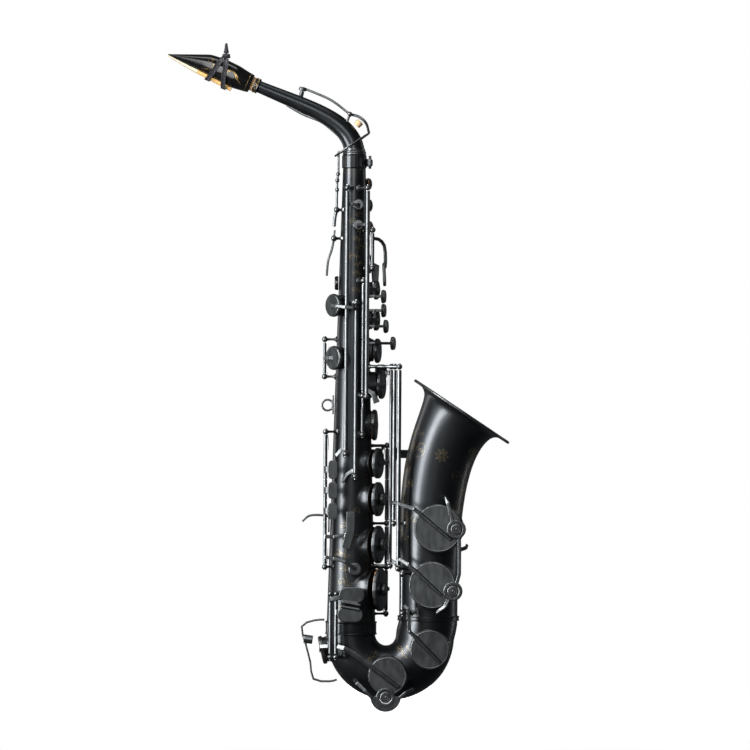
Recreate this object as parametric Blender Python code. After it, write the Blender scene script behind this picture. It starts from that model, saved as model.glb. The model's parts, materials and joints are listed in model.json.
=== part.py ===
"""Alto saxophone, modelled as the separate pieces that it comes apart into.

Sizes in this file are millimetres; meshes are stored in metres. The origin is the centre of the
strap ring. +Z runs up the body tube, +X points from the tube to the bell, and -Y is the side of the
player's right hand. Every key is modelled closed, then turned about its hinge to where it rests.
"""

import math

import bmesh
import bpy
from mathutils import Matrix, Vector

MM = 0.001

# ---- driving dimensions -------------------------------------------------------------------------
GAP = 0.3                  # clearance between neighbouring pieces
WALL = 1.1                 # wall of the brass tubes

STRAP_RING_R = 5.8         # middle of the strap ring's wire, whose centre is the origin
STRAP_WIRE_R = 1.2
STRAP_RING_CLEAR = 0.4     # from the ring to the body tube

BODY_TOP_Z = 253.0
BODY_TOP_R = 12.2
BODY_BOTTOM_Z = -232.0
BODY_BOTTOM_R = 26.0
BODY_R_AT_RING = BODY_TOP_R + (BODY_BOTTOM_R - BODY_TOP_R) * BODY_TOP_Z / (BODY_TOP_Z - BODY_BOTTOM_Z)
BODY_X = BODY_R_AT_RING + STRAP_RING_R + STRAP_WIRE_R + STRAP_RING_CLEAR
FERRULE_HEIGHT = 14.0
FERRULE_WALL = 1.2

BOW_R = 39.6               # from the body axis to the middle of the U bend
BOW_Z = -246.0             # height of the centre of the U bend
BOW_TUBE_START_R = 26.0
BOW_TUBE_END_R = 31.2
BELL_JOINT_Z = -227.0

BELL_TUBE_R = 31.2         # bell tube just above its joint
BELL_RIM_R = 61.0
BELL_LEAN = math.radians(33.5)   # the rim's axis leans this far from vertical, towards +X
BELL_RISE = 221.6          # height of the rim's centre over the joint
BELL_REACH = 37.5          # how far the rim's centre stands out from the bell tube's axis
RIM_ROLL_R = 1.5

RECEIVER_HEIGHT = 14.6
RECEIVER_TOP_Z = BODY_TOP_Z + RECEIVER_HEIGHT
RECEIVER_R = 13.3
TENON_R = 10.9
NECK_BASE_R = 11.4
NECK_END_R = 6.4
NECK_REACH = 102.7         # from the body axis to the end of the neck tube
NECK_RISE = 72.8           # from the receiver to the end of the neck tube
NECK_END_ANGLE = math.radians(23.0)   # how far the mouthpiece end drops from horizontal
CORK_R = 7.6
CORK_LENGTH = 24.0

MOUTHPIECE_LENGTH = 94.0
MOUTHPIECE_GAP = 8.7       # neck left showing between the cork's end ring and the mouthpiece
TABLE_START = 19.0         # where the flat under the reed starts, from the shank end
REED_THICKNESS = 3.7
REED_HALF_WIDTH = 6.4

ROD_R = 2.2                # hinge tubes
LONG_ROD_R = 2.4
BALL_R = 3.1               # post heads
STEM_R = 1.5
CUP_THICKNESS = 4.4
PAD_CLEAR = GAP            # from a closed pad to its tone hole's rim
CHIMNEY_INSET = 1.6        # a tone hole's rim is this much smaller than its key cup
CHIMNEY_WALL = 1.4
ARM_THICKNESS = 2.0

# Named rods that several pieces share: (X, Y) of each vertical hinge line.
LOWER_STACK_ROD = (64.0, 16.0)
UPPER_STACK_ROD = (37.5, -26.0)
LOW_B_FLAT_ROD = (71.5, -24.0)
LOW_B_ROD = (76.5, -31.0)
LOW_C_SHARP_ROD = (81.5, -37.5)
C_SHARP_LEVER_ROD = (68.0, -14.5)
SIDE_TOUCH_ROD = (-1.7, -20.0)
HIGH_E_ROD = (19.8, -27.5)
SIDE_C_ROD = (30.2, -29.0)
SIDE_B_FLAT_ROD = (-3.4, -2.0)
HIGH_F_SHARP_ROD = (41.6, -33.5)
LOW_E_FLAT_ROD = (5.0, -32.5)
LOW_C_ROD = (10.9, -34.5)

STACK_TURN = math.radians(-22.0)       # the lower stack's tone holes turn towards -Y
UPPER_STACK_TURN = math.radians(-6.0)
SIDE_HOLE_TURN = math.radians(-141.0)  # tone holes at the back of the right-hand side

COLOURS = {
    "lacquer": ((0.018, 0.020, 0.022, 1.0), 0.42, 0.6),
    "key": ((0.055, 0.060, 0.063, 1.0), 0.38, 0.7),
    "ebonite": ((0.008, 0.008, 0.009, 1.0), 0.12, 0.0),
    "cane": ((0.72, 0.50, 0.24, 1.0), 0.55, 0.0),
    "cork": ((0.62, 0.42, 0.25, 1.0), 0.85, 0.0),
    "felt": ((0.03, 0.03, 0.032, 1.0), 0.95, 0.0),
    "strap": ((0.035, 0.035, 0.045, 1.0), 0.6, 0.0),
}


# ---- scene and materials ------------------------------------------------------------------------
def clear_scene():
    for obj in list(bpy.data.objects):
        bpy.data.objects.remove(obj, do_unlink=True)


def material(name):
    found = bpy.data.materials.get(name)
    if found:
        return found
    colour, roughness, metallic = COLOURS[name]
    made = bpy.data.materials.new(name)
    made.use_nodes = True
    shader = made.node_tree.nodes["Principled BSDF"]
    shader.inputs["Base Color"].default_value = colour
    shader.inputs["Roughness"].default_value = roughness
    shader.inputs["Metallic"].default_value = metallic
    made.diffuse_color = colour
    return made


# ---- simple closed solids, each returned as a bmesh in millimetres ------------------------------
def rings_solid(rings, closed=False):
    """A closed skin over rings of points; without closed, the first and last rings are capped."""
    bm = bmesh.new()
    loops = [[bm.verts.new(point) for point in ring] for ring in rings]
    count = len(loops[0])
    pairs = list(zip(loops, loops[1:]))
    if closed:
        pairs.append((loops[-1], loops[0]))
    for low, high in pairs:
        for i in range(count):
            j = (i + 1) % count
            bm.faces.new((low[i], low[j], high[j], high[i]))
    if not closed:
        bm.faces.new(list(reversed(loops[0])))
        bm.faces.new(loops[-1])
    bmesh.ops.recalc_face_normals(bm, faces=bm.faces)
    if bm.calc_volume(signed=True) < 0:
        bmesh.ops.reverse_faces(bm, faces=bm.faces)
    return bm


def across(axis):
    """Two unit vectors at right angles to axis and to each other."""
    axis = Vector(axis).normalized()
    helper = Vector((0, 0, 1)) if abs(axis.z) < 0.9 else Vector((0, 1, 0))
    side = axis.cross(helper).normalized()
    return side, axis.cross(side).normalized()


def circle(centre, axis, radius, count, side=None, up=None):
    if side is None:
        side, up = across(axis)
    centre = Vector(centre)
    steps = [2 * math.pi * i / count for i in range(count)]
    return [centre + radius * (math.cos(a) * side + math.sin(a) * up) for a in steps]


def turned(centre, axis, profile, count):
    """A solid of revolution: profile lists (height along axis, radius) from one end to the other."""
    axis = Vector(axis).normalized()
    centre = Vector(centre)
    side, up = across(axis)
    return rings_solid([circle(centre + axis * h, axis, r, count, side, up) for h, r in profile])


def rod(start, end, radius, count=10, end_radius=None):
    start, end = Vector(start), Vector(end)
    length = (end - start).length
    last = radius if end_radius is None else end_radius
    return turned(start, end - start, [(0.0, radius), (length, last)], count)


def ball(centre, radius, count=7):
    angles = [math.radians(a) for a in (-60, 0, 60)]
    profile = [(radius * math.sin(a), radius * math.cos(a)) for a in angles]
    return turned(centre, (0, 0, 1), profile, count)


def path_frames(points, side_hint):
    """For each point of a path: the point, its tangent, and two directions across it."""
    points = [Vector(p) for p in points]
    frames = []
    for i, point in enumerate(points):
        before = (point - points[i - 1]).normalized() if i else None
        after = (points[i + 1] - point).normalized() if i + 1 < len(points) else None
        tangent = ((before or after) + (after or before)).normalized()
        side = Vector(side_hint)
        side = (side - tangent * side.dot(tangent)).normalized()
        stretch = 1.0
        if before and after:
            stretch = 1.0 / max(0.7, tangent.dot(after))
        frames.append((point, tangent, side, tangent.cross(side).normalized(), stretch))
    return frames


def tube(points, radius, count=8, side_hint=(0, 1, 0)):
    """A round bar along points; radius is one number or one for each point."""
    frames = path_frames(points, side_hint)
    radii = radius if isinstance(radius, (list, tuple)) else [radius] * len(frames)
    return rings_solid(
        [circle(p, t, r, count, side, up) for (p, t, side, up, _), r in zip(frames, radii)]
    )


def bar(points, width, thickness, side_hint=(0, 0, 1)):
    """A flat bar along points, its width lying along side_hint."""
    widths = width if isinstance(width, (list, tuple)) else [width] * len(points)
    rings = []
    for (point, _, side, up, stretch), wide in zip(path_frames(points, side_hint), widths):
        w, h = side * wide / 2, up * thickness * stretch / 2
        rings.append([point - w - h, point + w - h, point + w + h, point - w + h])
    return rings_solid(rings)


def disc(centre, normal, radius, thickness, count=18, edge=1.2):
    """A round key cup or touch, its back at centre and its domed front towards normal."""
    return turned(
        centre,
        normal,
        [(0.0, radius), (thickness - edge, radius), (thickness, radius - edge)],
        count,
    )


def plate(centre, normal, up, width, height, thickness, corner, corner_steps=3):
    """A plate with round corners, its middle at centre."""
    normal, up = Vector(normal).normalized(), Vector(up).normalized()
    side = up.cross(normal).normalized()
    outline = []
    for turn, (sx, sy) in enumerate(((1, 1), (-1, 1), (-1, -1), (1, -1))):
        middle = (sx * (width / 2 - corner), sy * (height / 2 - corner))
        for step in range(corner_steps + 1):
            a = math.pi / 2 * (turn + step / corner_steps)
            outline.append((middle[0] + corner * math.cos(a), middle[1] + corner * math.sin(a)))
    rings = []
    for offset in (-thickness / 2, thickness / 2):
        base = Vector(centre) + normal * offset
        rings.append([base + side * x + up * y for x, y in outline])
    return rings_solid(rings)


def smooth_path(points, steps):
    """A Catmull-Rom curve through points, with steps pieces between each two."""
    points = [Vector(p) for p in points]
    points = [2 * points[0] - points[1]] + points + [2 * points[-1] - points[-2]]
    curve = []
    for a, b, c, d in zip(points, points[1:], points[2:], points[3:]):
        for i in range(steps):
            t = i / steps
            curve.append(
                0.5 * (2 * b + (c - a) * t + (2 * a - 5 * b + 4 * c - d) * t * t
                       + (3 * b - a - 3 * c + d) * t ** 3)
            )
    return curve + [points[-2]]


# ---- joining solids into one closed body --------------------------------------------------------
def temporary(bm, name="temporary"):
    mesh = bpy.data.meshes.new(name)
    bm.to_mesh(mesh)
    bm.free()
    obj = bpy.data.objects.new(name, mesh)
    bpy.context.scene.collection.objects.link(obj)
    return obj


def combined(pieces, cuts, trims):
    """One mesh: the union of pieces, with cuts taken away and trims joined on after that."""
    base = temporary(pieces[0])
    groups = []
    for solids, operation in ((pieces[1:], "UNION"), (cuts, "DIFFERENCE"), (trims, "UNION")):
        if not solids:
            continue
        group = bpy.data.collections.new(operation)
        groups.append(group)
        for solid in solids:
            group.objects.link(temporary(solid))
        boolean = base.modifiers.new(operation, "BOOLEAN")
        boolean.operation = operation
        boolean.solver = "EXACT"
        boolean.operand_type = "COLLECTION"
        boolean.collection = group
    bpy.context.view_layer.update()
    depsgraph = bpy.context.evaluated_depsgraph_get()
    mesh = bpy.data.meshes.new_from_object(base.evaluated_get(depsgraph))
    bpy.data.objects.remove(base, do_unlink=True)
    for group in groups:
        for obj in list(group.objects):
            bpy.data.objects.remove(obj, do_unlink=True)
        bpy.data.collections.remove(group)
    return mesh


def node(name, look, pieces, cuts=(), trims=(), origin=(0, 0, 0), turn=None):
    """Make one named object from solids given in millimetres, with its origin on its joint's axis.

    turn is (axis, degrees): the solid is turned about origin, as a key that rests open.
    """
    mesh = combined(list(pieces), list(cuts), list(trims))
    mesh.name = name
    place = Matrix.Translation(-Vector(origin))
    if turn:
        axis, degrees = turn
        place = Matrix.Rotation(math.radians(degrees), 4, Vector(axis)) @ place
    mesh.transform(Matrix.Scale(MM, 4) @ place)
    clean = bmesh.new()
    clean.from_mesh(mesh)
    bmesh.ops.remove_doubles(clean, verts=clean.verts, dist=2e-6)
    bmesh.ops.dissolve_degenerate(clean, edges=clean.edges, dist=1e-6)
    clean.to_mesh(mesh)
    clean.free()
    mesh.materials.clear()
    mesh.materials.append(material(look))
    mesh.shade_smooth()
    mesh.set_sharp_from_angle(angle=math.radians(40))
    obj = bpy.data.objects.new(name, mesh)
    obj.location = Vector(origin) * MM
    bpy.context.scene.collection.objects.link(obj)
    return obj


# ---- the tubes ----------------------------------------------------------------------------------
def body_radius(z):
    share = (BODY_TOP_Z - z) / (BODY_TOP_Z - BODY_BOTTOM_Z)
    return BODY_TOP_R + (BODY_BOTTOM_R - BODY_TOP_R) * share


def out_of_body(angle):
    return Vector((math.cos(angle), math.sin(angle), 0.0))


def on_body(angle, z, standoff=0.0):
    """A point standoff over the body tube's wall."""
    return Vector((BODY_X, 0, z)) + out_of_body(angle) * (body_radius(z) + standoff)


BELL_X = BODY_X + 2 * BOW_R + 3.4
RIM_CENTRE = Vector((BELL_X + BELL_REACH - 3.0, 0, BELL_JOINT_Z + BELL_RISE))


def bell_spine():
    """The bell's centre line from its joint to the rim, as closely spaced points."""
    start = Vector((BELL_X, 0, BELL_JOINT_Z))
    lean = Vector((math.sin(BELL_LEAN), 0, math.cos(BELL_LEAN)))
    upright = Vector((0, 0, 1))
    bend = BELL_RISE * 0.54
    a, b, c, d = start, start + upright * bend, RIM_CENTRE - lean * bend * 0.5, RIM_CENTRE
    steps = 60
    return [
        a * (1 - t) ** 3 + b * 3 * t * (1 - t) ** 2 + c * 3 * t * t * (1 - t) + d * t ** 3
        for t in (i / steps for i in range(steps + 1))
    ]


def bell_profile():
    """(distance below the rim, outer radius): a slow cone that opens into a flat flange."""
    cone_end = 40.0
    steps = [0.0, 1.0, 3.0, 6.0, 11.0, 20.0, cone_end, 70.0, 120.0, 170.0]
    flare_start = 38.0
    profile = []
    for s in steps:
        cone = BELL_TUBE_R + (flare_start - BELL_TUBE_R) * max(0.0, 1 - s / 200.0) ** 1.35
        flare = (BELL_RIM_R - flare_start) * (0.62 * math.exp(-s / 1.9) + 0.38 * math.exp(-s / 13.0))
        profile.append((s, cone + flare))
    return profile


def offset_profile(profile, distance):
    """The profile moved along its own normals, towards the axis and the mouth."""
    moved = []
    for i, (s, r) in enumerate(profile):
        s0, r0 = profile[max(0, i - 1)]
        s1, r1 = profile[min(len(profile) - 1, i + 1)]
        along = Vector((s1 - s0, r1 - r0)).normalized()
        moved.append((s + along.y * distance, r - along.x * distance))
    return moved


def spine_rings(spine, profile, count):
    """Rings of the profile's radii, each square to the spine at its distance below the last point."""
    lengths = [0.0]
    for a, b in zip(spine, spine[1:]):
        lengths.append(lengths[-1] + (b - a).length)
    total = lengths[-1]
    rings = []
    for below, radius in profile:
        at = min(total, total - below)
        index = max(i for i, length in enumerate(lengths[:-1]) if length <= max(at, 0.0))
        start, end = spine[index], spine[index + 1]
        tangent = (end - start).normalized()
        centre = start + tangent * (total - below - lengths[index])
        side = Vector((0, 1, 0))
        rings.append(circle(centre, tangent, radius, count, side, tangent.cross(side)))
    return rings


def tone_hole(centre, normal, cup_radius, foot):
    """A chimney solid and its bore, from foot below the cup's back up to just clear of the pad."""
    normal = Vector(normal).normalized()
    top = Vector(centre) - normal * PAD_CLEAR
    radius = cup_radius - CHIMNEY_INSET
    sides = 14 if cup_radius > 14 else 10
    chimney = rod(top - normal * foot, top, radius, sides)
    bore = rod(top - normal * (foot + 2.0), top + normal * 4.0, radius - CHIMNEY_WALL, sides)
    return chimney, bore


class Tube:
    """Collects what is soldered onto one tube: chimneys, posts and feet, and the holes through it."""

    def __init__(self):
        self.solids = []
        self.bores = []

    def add_hole(self, cup, foot):
        chimney, bore = tone_hole(cup["centre"], cup["normal"], cup["radius"], foot)
        self.solids.append(chimney)
        self.bores.append(bore)

    def add_post(self, point, root, bore_axis=None, bore_r=None):
        point, root = Vector(point), Vector(root)
        self.solids.append(ball(point, BALL_R))
        self.solids.append(rod(root, point, STEM_R * 1.5, 5, STEM_R))
        if bore_axis:
            reach = Vector(bore_axis).normalized() * (BALL_R + 2)
            self.bores.append(rod(point - reach, point + reach, bore_r, 10))


BODY = Tube()
BOW = Tube()
BELL = Tube()


def body_posts(rod_xy, heights):
    """Post heads on a vertical hinge line, with stems down to the body tube."""
    for z in heights:
        point = Vector((*rod_xy, z))
        inward = (Vector((BODY_X, 0, z)) - point).normalized()
        inside = Vector((BODY_X, 0, z)) - inward * (body_radius(z) - WALL * 1.5)
        BODY.add_post(point, inside)


# ---- keys ---------------------------------------------------------------------------------------
def stack_cup(turn, x, z, radius):
    """A cup over the body's front: x is where the middle of its back stands."""
    normal = out_of_body(turn)
    distance = (x - BODY_X) / math.cos(turn)
    return {"centre": Vector((BODY_X, 0, z)) + normal * distance, "normal": normal, "radius": radius}


def cup_solid(cup, count=16):
    return disc(cup["centre"], cup["normal"], cup["radius"], CUP_THICKNESS, count)


def cup_top(cup, extra=0.0):
    return cup["centre"] + cup["normal"] * (CUP_THICKNESS + extra)


def hinge_tube(rod_xy, z_top, z_bottom, radius=ROD_R, count=8):
    return rod((*rod_xy, z_bottom), (*rod_xy, z_top), radius, count)


def cup_arm(rod_xy, z, cup, width=4.0, hint=(0, 0, 1)):
    """An arm from the hinge tube over the cup's edge to its middle, with a round end there."""
    top = cup_top(cup, -0.4)
    start = Vector((*rod_xy, z))
    end = top + cup["normal"] * 0.2
    toward = start - end
    flat = toward - cup["normal"] * toward.dot(cup["normal"])
    edge = end + flat.normalized() * min(cup["radius"] + 0.6, flat.length - 3.0)
    pad = disc(top - cup["normal"] * 0.4, cup["normal"], 4.2, 2.2, 8, 0.6)
    return [bar([start, edge + cup["normal"] * 0.6, end], width, ARM_THICKNESS, hint), pad]


def pearl(centre, normal, radius=7.5):
    """A finger pearl's holder with a shallow seat."""
    return disc(Vector(centre), normal, radius, 3.4, 12, 0.9)


def under(post_z):
    """Where a hinge tube ends below a post head."""
    return post_z - BALL_R - GAP


def over(post_z):
    """Where a hinge tube ends above a post head."""
    return post_z + BALL_R + GAP


def vertical_turn(degrees):
    return ((0, 0, 1), degrees)


def open_turn(rod_xy, cup, gap):
    """The turn about +Z that lifts a cup by gap off its chimney, signed."""
    lever = cup["centre"] - Vector((*rod_xy, cup["centre"].z))
    lift = Vector((0, 0, 1)).cross(lever).dot(cup["normal"])
    return vertical_turn(math.degrees(gap / lift))


def stack_keys():
    """The two stacks: each key is a hinge tube, an arm, a cup, and for some a finger pearl."""
    lower = (
        # name, where the cup stands out to, height, radius, hinge from and to, rests open by
        ("f_sharp_key", 50.2, -61.6, 16.6, under(-43.1), -79.0, 2.6),
        ("f_key", 50.6, -100.0, 18.6, -79.4, over(-126.4), 2.6),
        ("e_key", 51.0, -148.5, 20.6, under(-126.4), over(-173.4), 2.8),
        ("d_key", 52.9, -196.5, 23.4, under(-173.4), over(-223.2), 3.0),
    )
    for name, x, z, radius, top, bottom, gap in lower:
        cup = stack_cup(STACK_TURN, x, z, radius)
        BODY.add_hole(cup, 14.0)
        solids = [hinge_tube(LOWER_STACK_ROD, top, bottom), cup_solid(cup, 18)]
        solids += cup_arm(LOWER_STACK_ROD, z, cup)
        if name != "f_sharp_key":
            solids.append(pearl(cup_top(cup, 1.0), cup["normal"], 7.0))
        turn = open_turn(LOWER_STACK_ROD, cup, gap)
        node(name, "key", solids, origin=(*LOWER_STACK_ROD, z), turn=turn)
    middle = (-126.4, -173.4)
    body_posts(LOWER_STACK_ROD, (-43.1, *middle, -223.2))

    upper = (
        # name, cup, pearl (x, z) or None, hinge from and to, rests open by
        ("b_key", 47.3, 123.5, 10.4, (56.5, 116.5), under(133.0), 108.4, 2.2),
        ("bis_key", 47.5, 91.5, 11.6, (56.7, 101.5), 108.0, 86.9, 2.2),
        ("a_key", 48.9, 58.5, 13.2, (59.0, 84.6), 86.5, 71.0, 2.4),
        ("g_key", 53.4, 22.4, 15.5, (66.6, 66.5), 69.4, 15.6, 2.6),
        ("g_sharp_key", 48.4, -20.9, 16.6, None, -3.6, over(-31.0), 0.0),
    )
    for name, x, z, radius, touch, top, bottom, gap in upper:
        cup = stack_cup(UPPER_STACK_TURN, x, z, radius)
        BODY.add_hole(cup, 14.0 if x < 53 else 19.0)
        at = max(min(z, top - 2.5), bottom + 2.5)
        solids = [hinge_tube(UPPER_STACK_ROD, top, bottom), cup_solid(cup)]
        solids += cup_arm(UPPER_STACK_ROD, at, cup)
        if touch:
            seat = Vector((touch[0], -1.0, touch[1]))
            arm_z = max(min(touch[1], top - 1.6), bottom + 1.6)
            start = Vector((*UPPER_STACK_ROD, arm_z))
            out = Vector((50.0, -25.6, arm_z))
            bend = Vector((touch[0] - 1.5, -15.0, (arm_z + touch[1]) / 2))
            solids.append(bar([start, out, bend, seat], 3.0, ARM_THICKNESS))
            solids.append(pearl(seat - cup["normal"] * 1.4, cup["normal"], 7.3))
        turn = open_turn(UPPER_STACK_ROD, cup, gap) if gap else None
        node(name, "key", solids, origin=(*UPPER_STACK_ROD, z), turn=turn)
    body_posts(UPPER_STACK_ROD, (133.0, 10.4, -31.0))


def right_cup(x, z, radius, tube_radius, rise=3.0):
    """A cup that faces -Y, over a tube of this radius."""
    return {"centre": Vector((x, -tube_radius - rise, z)), "normal": Vector((0, -1, 0)), "radius": radius}


def ridged_arm(route, start, cup, end):
    """A flat arm with a ridge along its middle: from its route off the hinge over the cup's face."""
    y = cup_top(cup).y - ARM_THICKNESS / 2 + 0.6
    face = [Vector((start[0], y, start[1])), Vector((end[0], y, end[1]))]
    points = [Vector(p) for p in route] + face
    ridge = [p + Vector((0, -0.9, 0)) for p in face]
    along = (face[1] - face[0]).normalized()
    sideways = along.cross(Vector((0, 1, 0)))
    return [
        bar(points, [3.6] * len(route) + [4.4, 2.8], ARM_THICKNESS, sideways),
        tube(ridge, 0.95, 6, (0, 1, 0)),
    ]


# Each bell-side key: cup, hinge line, hinge ends, arm start and end on the cup's face, resting gap.
SIDE_CUPS = {
    "low_b_flat_key": right_cup(120.0, -130.0, 26.0, 33.8),
    "low_b_key": right_cup(113.7, -190.4, 25.5, 32.4),
    "low_c_sharp_key": right_cup(111.0, -259.0, 21.5, 31.4),
    "low_c_key": right_cup(66.2, -287.3, 21.0, 29.0),
}


def bell_side_keys():
    table = (
        ("low_b_flat_key", LOW_B_FLAT_ROD, under(41.6), over(-125.4), (94.0, -109.0), (134.0, -142.0), 3.2),
        ("low_b_key", LOW_B_ROD, under(41.6), over(-173.4), (88.0, -168.5), (123.5, -200.5), 3.2),
        ("low_c_sharp_key", LOW_C_SHARP_ROD, under(-178.6), over(-220.4), (89.0, -239.5), (122.5, -273.5), 0.0),
    )
    for name, rod_xy, top, bottom, start, end, gap in table:
        cup = SIDE_CUPS[name]
        tube_group = BOW if name == "low_c_sharp_key" else BELL
        tube_group.add_hole(cup, 16.0)
        leave = max(min(start[1] + 6.0, top - 3.0), bottom + 3.0)
        solids = [hinge_tube(rod_xy, top, bottom, LONG_ROD_R), cup_solid(cup, 22)]
        route = [(*rod_xy, leave)]
        if name == "low_b_flat_key":
            route += [(70.6, -32.5, leave), (76.5, -37.2, leave - 1.0)]
        if name == "low_c_sharp_key":
            route = [(*rod_xy, -211.0), (87.4, -39.5, -215.5)]
        solids += ridged_arm(route, start, cup, end)
        turn = open_turn(rod_xy, cup, gap) if gap else None
        node(name, "key", solids, origin=(*rod_xy, cup["centre"].z), turn=turn)
    bell_post(LOW_B_FLAT_ROD, -125.4)
    bell_post(LOW_B_ROD, -173.4)
    bell_post(LOW_C_SHARP_ROD, -178.6)
    bell_post(LOW_C_SHARP_ROD, -220.4)


def bell_post(rod_xy, z):
    """A post head for a rod beside the bell, its stem reaching into the bell tube's wall."""
    point = Vector((*rod_xy, z))
    axis = Vector((BELL_X + 2.5, 0, z))
    inward = (axis - point).normalized()
    BELL.add_post(point, axis - inward * (BELL_TUBE_R - WALL * 1.5))


# ---- keys of the player's right hand ------------------------------------------------------------
def back_cup(x, z, radius):
    """A cup at the back of the right-hand side, its back standing out to x."""
    normal = out_of_body(SIDE_HOLE_TURN)
    distance = (x - BODY_X) / math.cos(SIDE_HOLE_TURN)
    return {"centre": Vector((BODY_X, 0, z)) + normal * distance, "normal": normal, "radius": radius}


def small_cup_disc(cup):
    return disc(cup["centre"], cup["normal"], cup["radius"], 3.4, 12, 0.8)


def long_rod_keys():
    """High E, high F sharp, side C and side B flat: cups worked from the side by long rods."""
    for name, rod_xy, top, bottom, z, radius in (
        ("high_e_key", HIGH_E_ROD, under(232.0), over(-51.4), 214.3, 6.2),
        ("high_f_sharp_key", HIGH_F_SHARP_ROD, under(232.0), over(9.6), 192.5, 6.0),
    ):
        cup = right_cup(31.6, z, radius, body_radius(z), 2.6)
        BODY.add_hole(cup, 7.0)
        face = cup["centre"] + Vector((0, -3.0, 0))
        bend = Vector(((rod_xy[0] + face.x) / 2, -27.0 if name == "high_e_key" else -29.0, z))
        solids = [
            hinge_tube(rod_xy, top, bottom, LONG_ROD_R),
            small_cup_disc(cup),
            bar([(*rod_xy, z), bend, face, face + Vector((0, 0.6, -2.5))], 3.2, ARM_THICKNESS),
        ]
        if name == "high_e_key":
            low = Vector((*rod_xy, bottom + 3))
            solids.append(bar([low, low + Vector((-5, 1.5, -3)), low + Vector((-10.5, 4, -9))], 4.0, 2.0))
        else:
            low = Vector((*rod_xy, bottom + 4))
            solids.append(bar([low, low + Vector((7, -2, -4)), low + Vector((11, -2, -14))],
                              [4.0, 5.0, 7.0], 2.0, (0, 0, 1)))
        node(name, "key", solids, origin=(*rod_xy, z))
    body_posts(HIGH_E_ROD, (232.0, -51.4))
    body_posts(HIGH_F_SHARP_ROD, (232.0, 9.6))

    cup = back_cup(7.2, 106.6, 12.4)
    BODY.add_hole(cup, 12.0)
    start = Vector((*SIDE_C_ROD, 103.4))
    top = cup_top(cup, 0.2)
    low = Vector((*SIDE_C_ROD, -68.0))
    solids = [
        hinge_tube(SIDE_C_ROD, under(109.4), over(-75.4), LONG_ROD_R),
        cup_solid(cup),
        bar([start, (26.5, -33.6, 103.8), (18.0, -34.0, 104.6), (8.0, -27.0, 105.8), top], 3.6, 2.0),
        bar([low, low + Vector((-8, 3.0, -5)), low + Vector((-14.5, 5.4, -14))], 4.0, 2.0),
    ]
    node("side_c_key", "key", solids, origin=(*SIDE_C_ROD, 103.4))
    body_posts(SIDE_C_ROD, (109.4, -75.4))

    cup = back_cup(8.2, 50.5, 13.0)
    BODY.add_hole(cup, 12.0)
    solids = [
        hinge_tube(SIDE_B_FLAT_ROD, under(70.4), over(30.6), 1.9),
        cup_solid(cup),
        bar([(*SIDE_B_FLAT_ROD, 50.5), cup_top(cup, 1.0) + Vector((-2.4, 3.0, 0)), cup_top(cup)], 4.0, 2.0),
    ]
    node("side_b_flat_key", "key", solids, origin=(*SIDE_B_FLAT_ROD, 50.5))
    body_posts(SIDE_B_FLAT_ROD, (70.4, 30.6))


TOUCH_X = 6.4
TOUCH_Y = -31.5
TOUCH_WIDTH = 9.6


def side_touches():
    """Three plates under the right palm, stacked on one short hinge line, and the F sharp trill key."""
    for name, z, height, top, bottom in (
        ("high_e_touch", -68.5, 20.0, under(-28.2), -78.7),
        ("side_c_touch", -90.6, 18.0, -79.1, -101.0),
        ("side_b_flat_touch", -112.7, 18.0, -101.4, -123.2),
    ):
        solids = [
            hinge_tube(SIDE_TOUCH_ROD, top, bottom, 2.1),
            plate((TOUCH_X, TOUCH_Y, z), (0, -1, 0), (0, 0, 1), TOUCH_WIDTH, height, 2.6, 3.4),
            bar([(*SIDE_TOUCH_ROD, z), (-0.5, -27.0, z), (TOUCH_X - 1, TOUCH_Y + 0.4, z)], 7.0, 2.0),
        ]
        node(name, "key", solids, origin=(*SIDE_TOUCH_ROD, z))
    cup = right_cup(30.7, -174.4, 7.2, body_radius(-174.4), 2.6)
    BODY.add_hole(cup, 7.0)
    face = cup["centre"] + Vector((0, -3.0, 0))
    y = -34.0
    solids = [
        hinge_tube(SIDE_TOUCH_ROD, -123.6, over(-172.4), 2.1),
        small_cup_disc(cup),
        bar([(*SIDE_TOUCH_ROD, -162.0), (8.0, -31.0, -163.0), (20.0, -33.2, -166.5), face], 3.4, 2.2),
        bar([(*SIDE_TOUCH_ROD, -140.0), (8.0, y + 1.0, -140.0), (24.0, y, -137.0)], 4.0, 2.2),
        bar([(25.8, y, -113.0), (25.4, y, -133.5), (20.8, y, -152.0)], 9.0, 2.4, (1, 0, 0)),
    ]
    node("alt_f_sharp_key", "key", solids, origin=(*SIDE_TOUCH_ROD, -162.0))
    body_posts(SIDE_TOUCH_ROD, (-28.2, -172.4))


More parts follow.
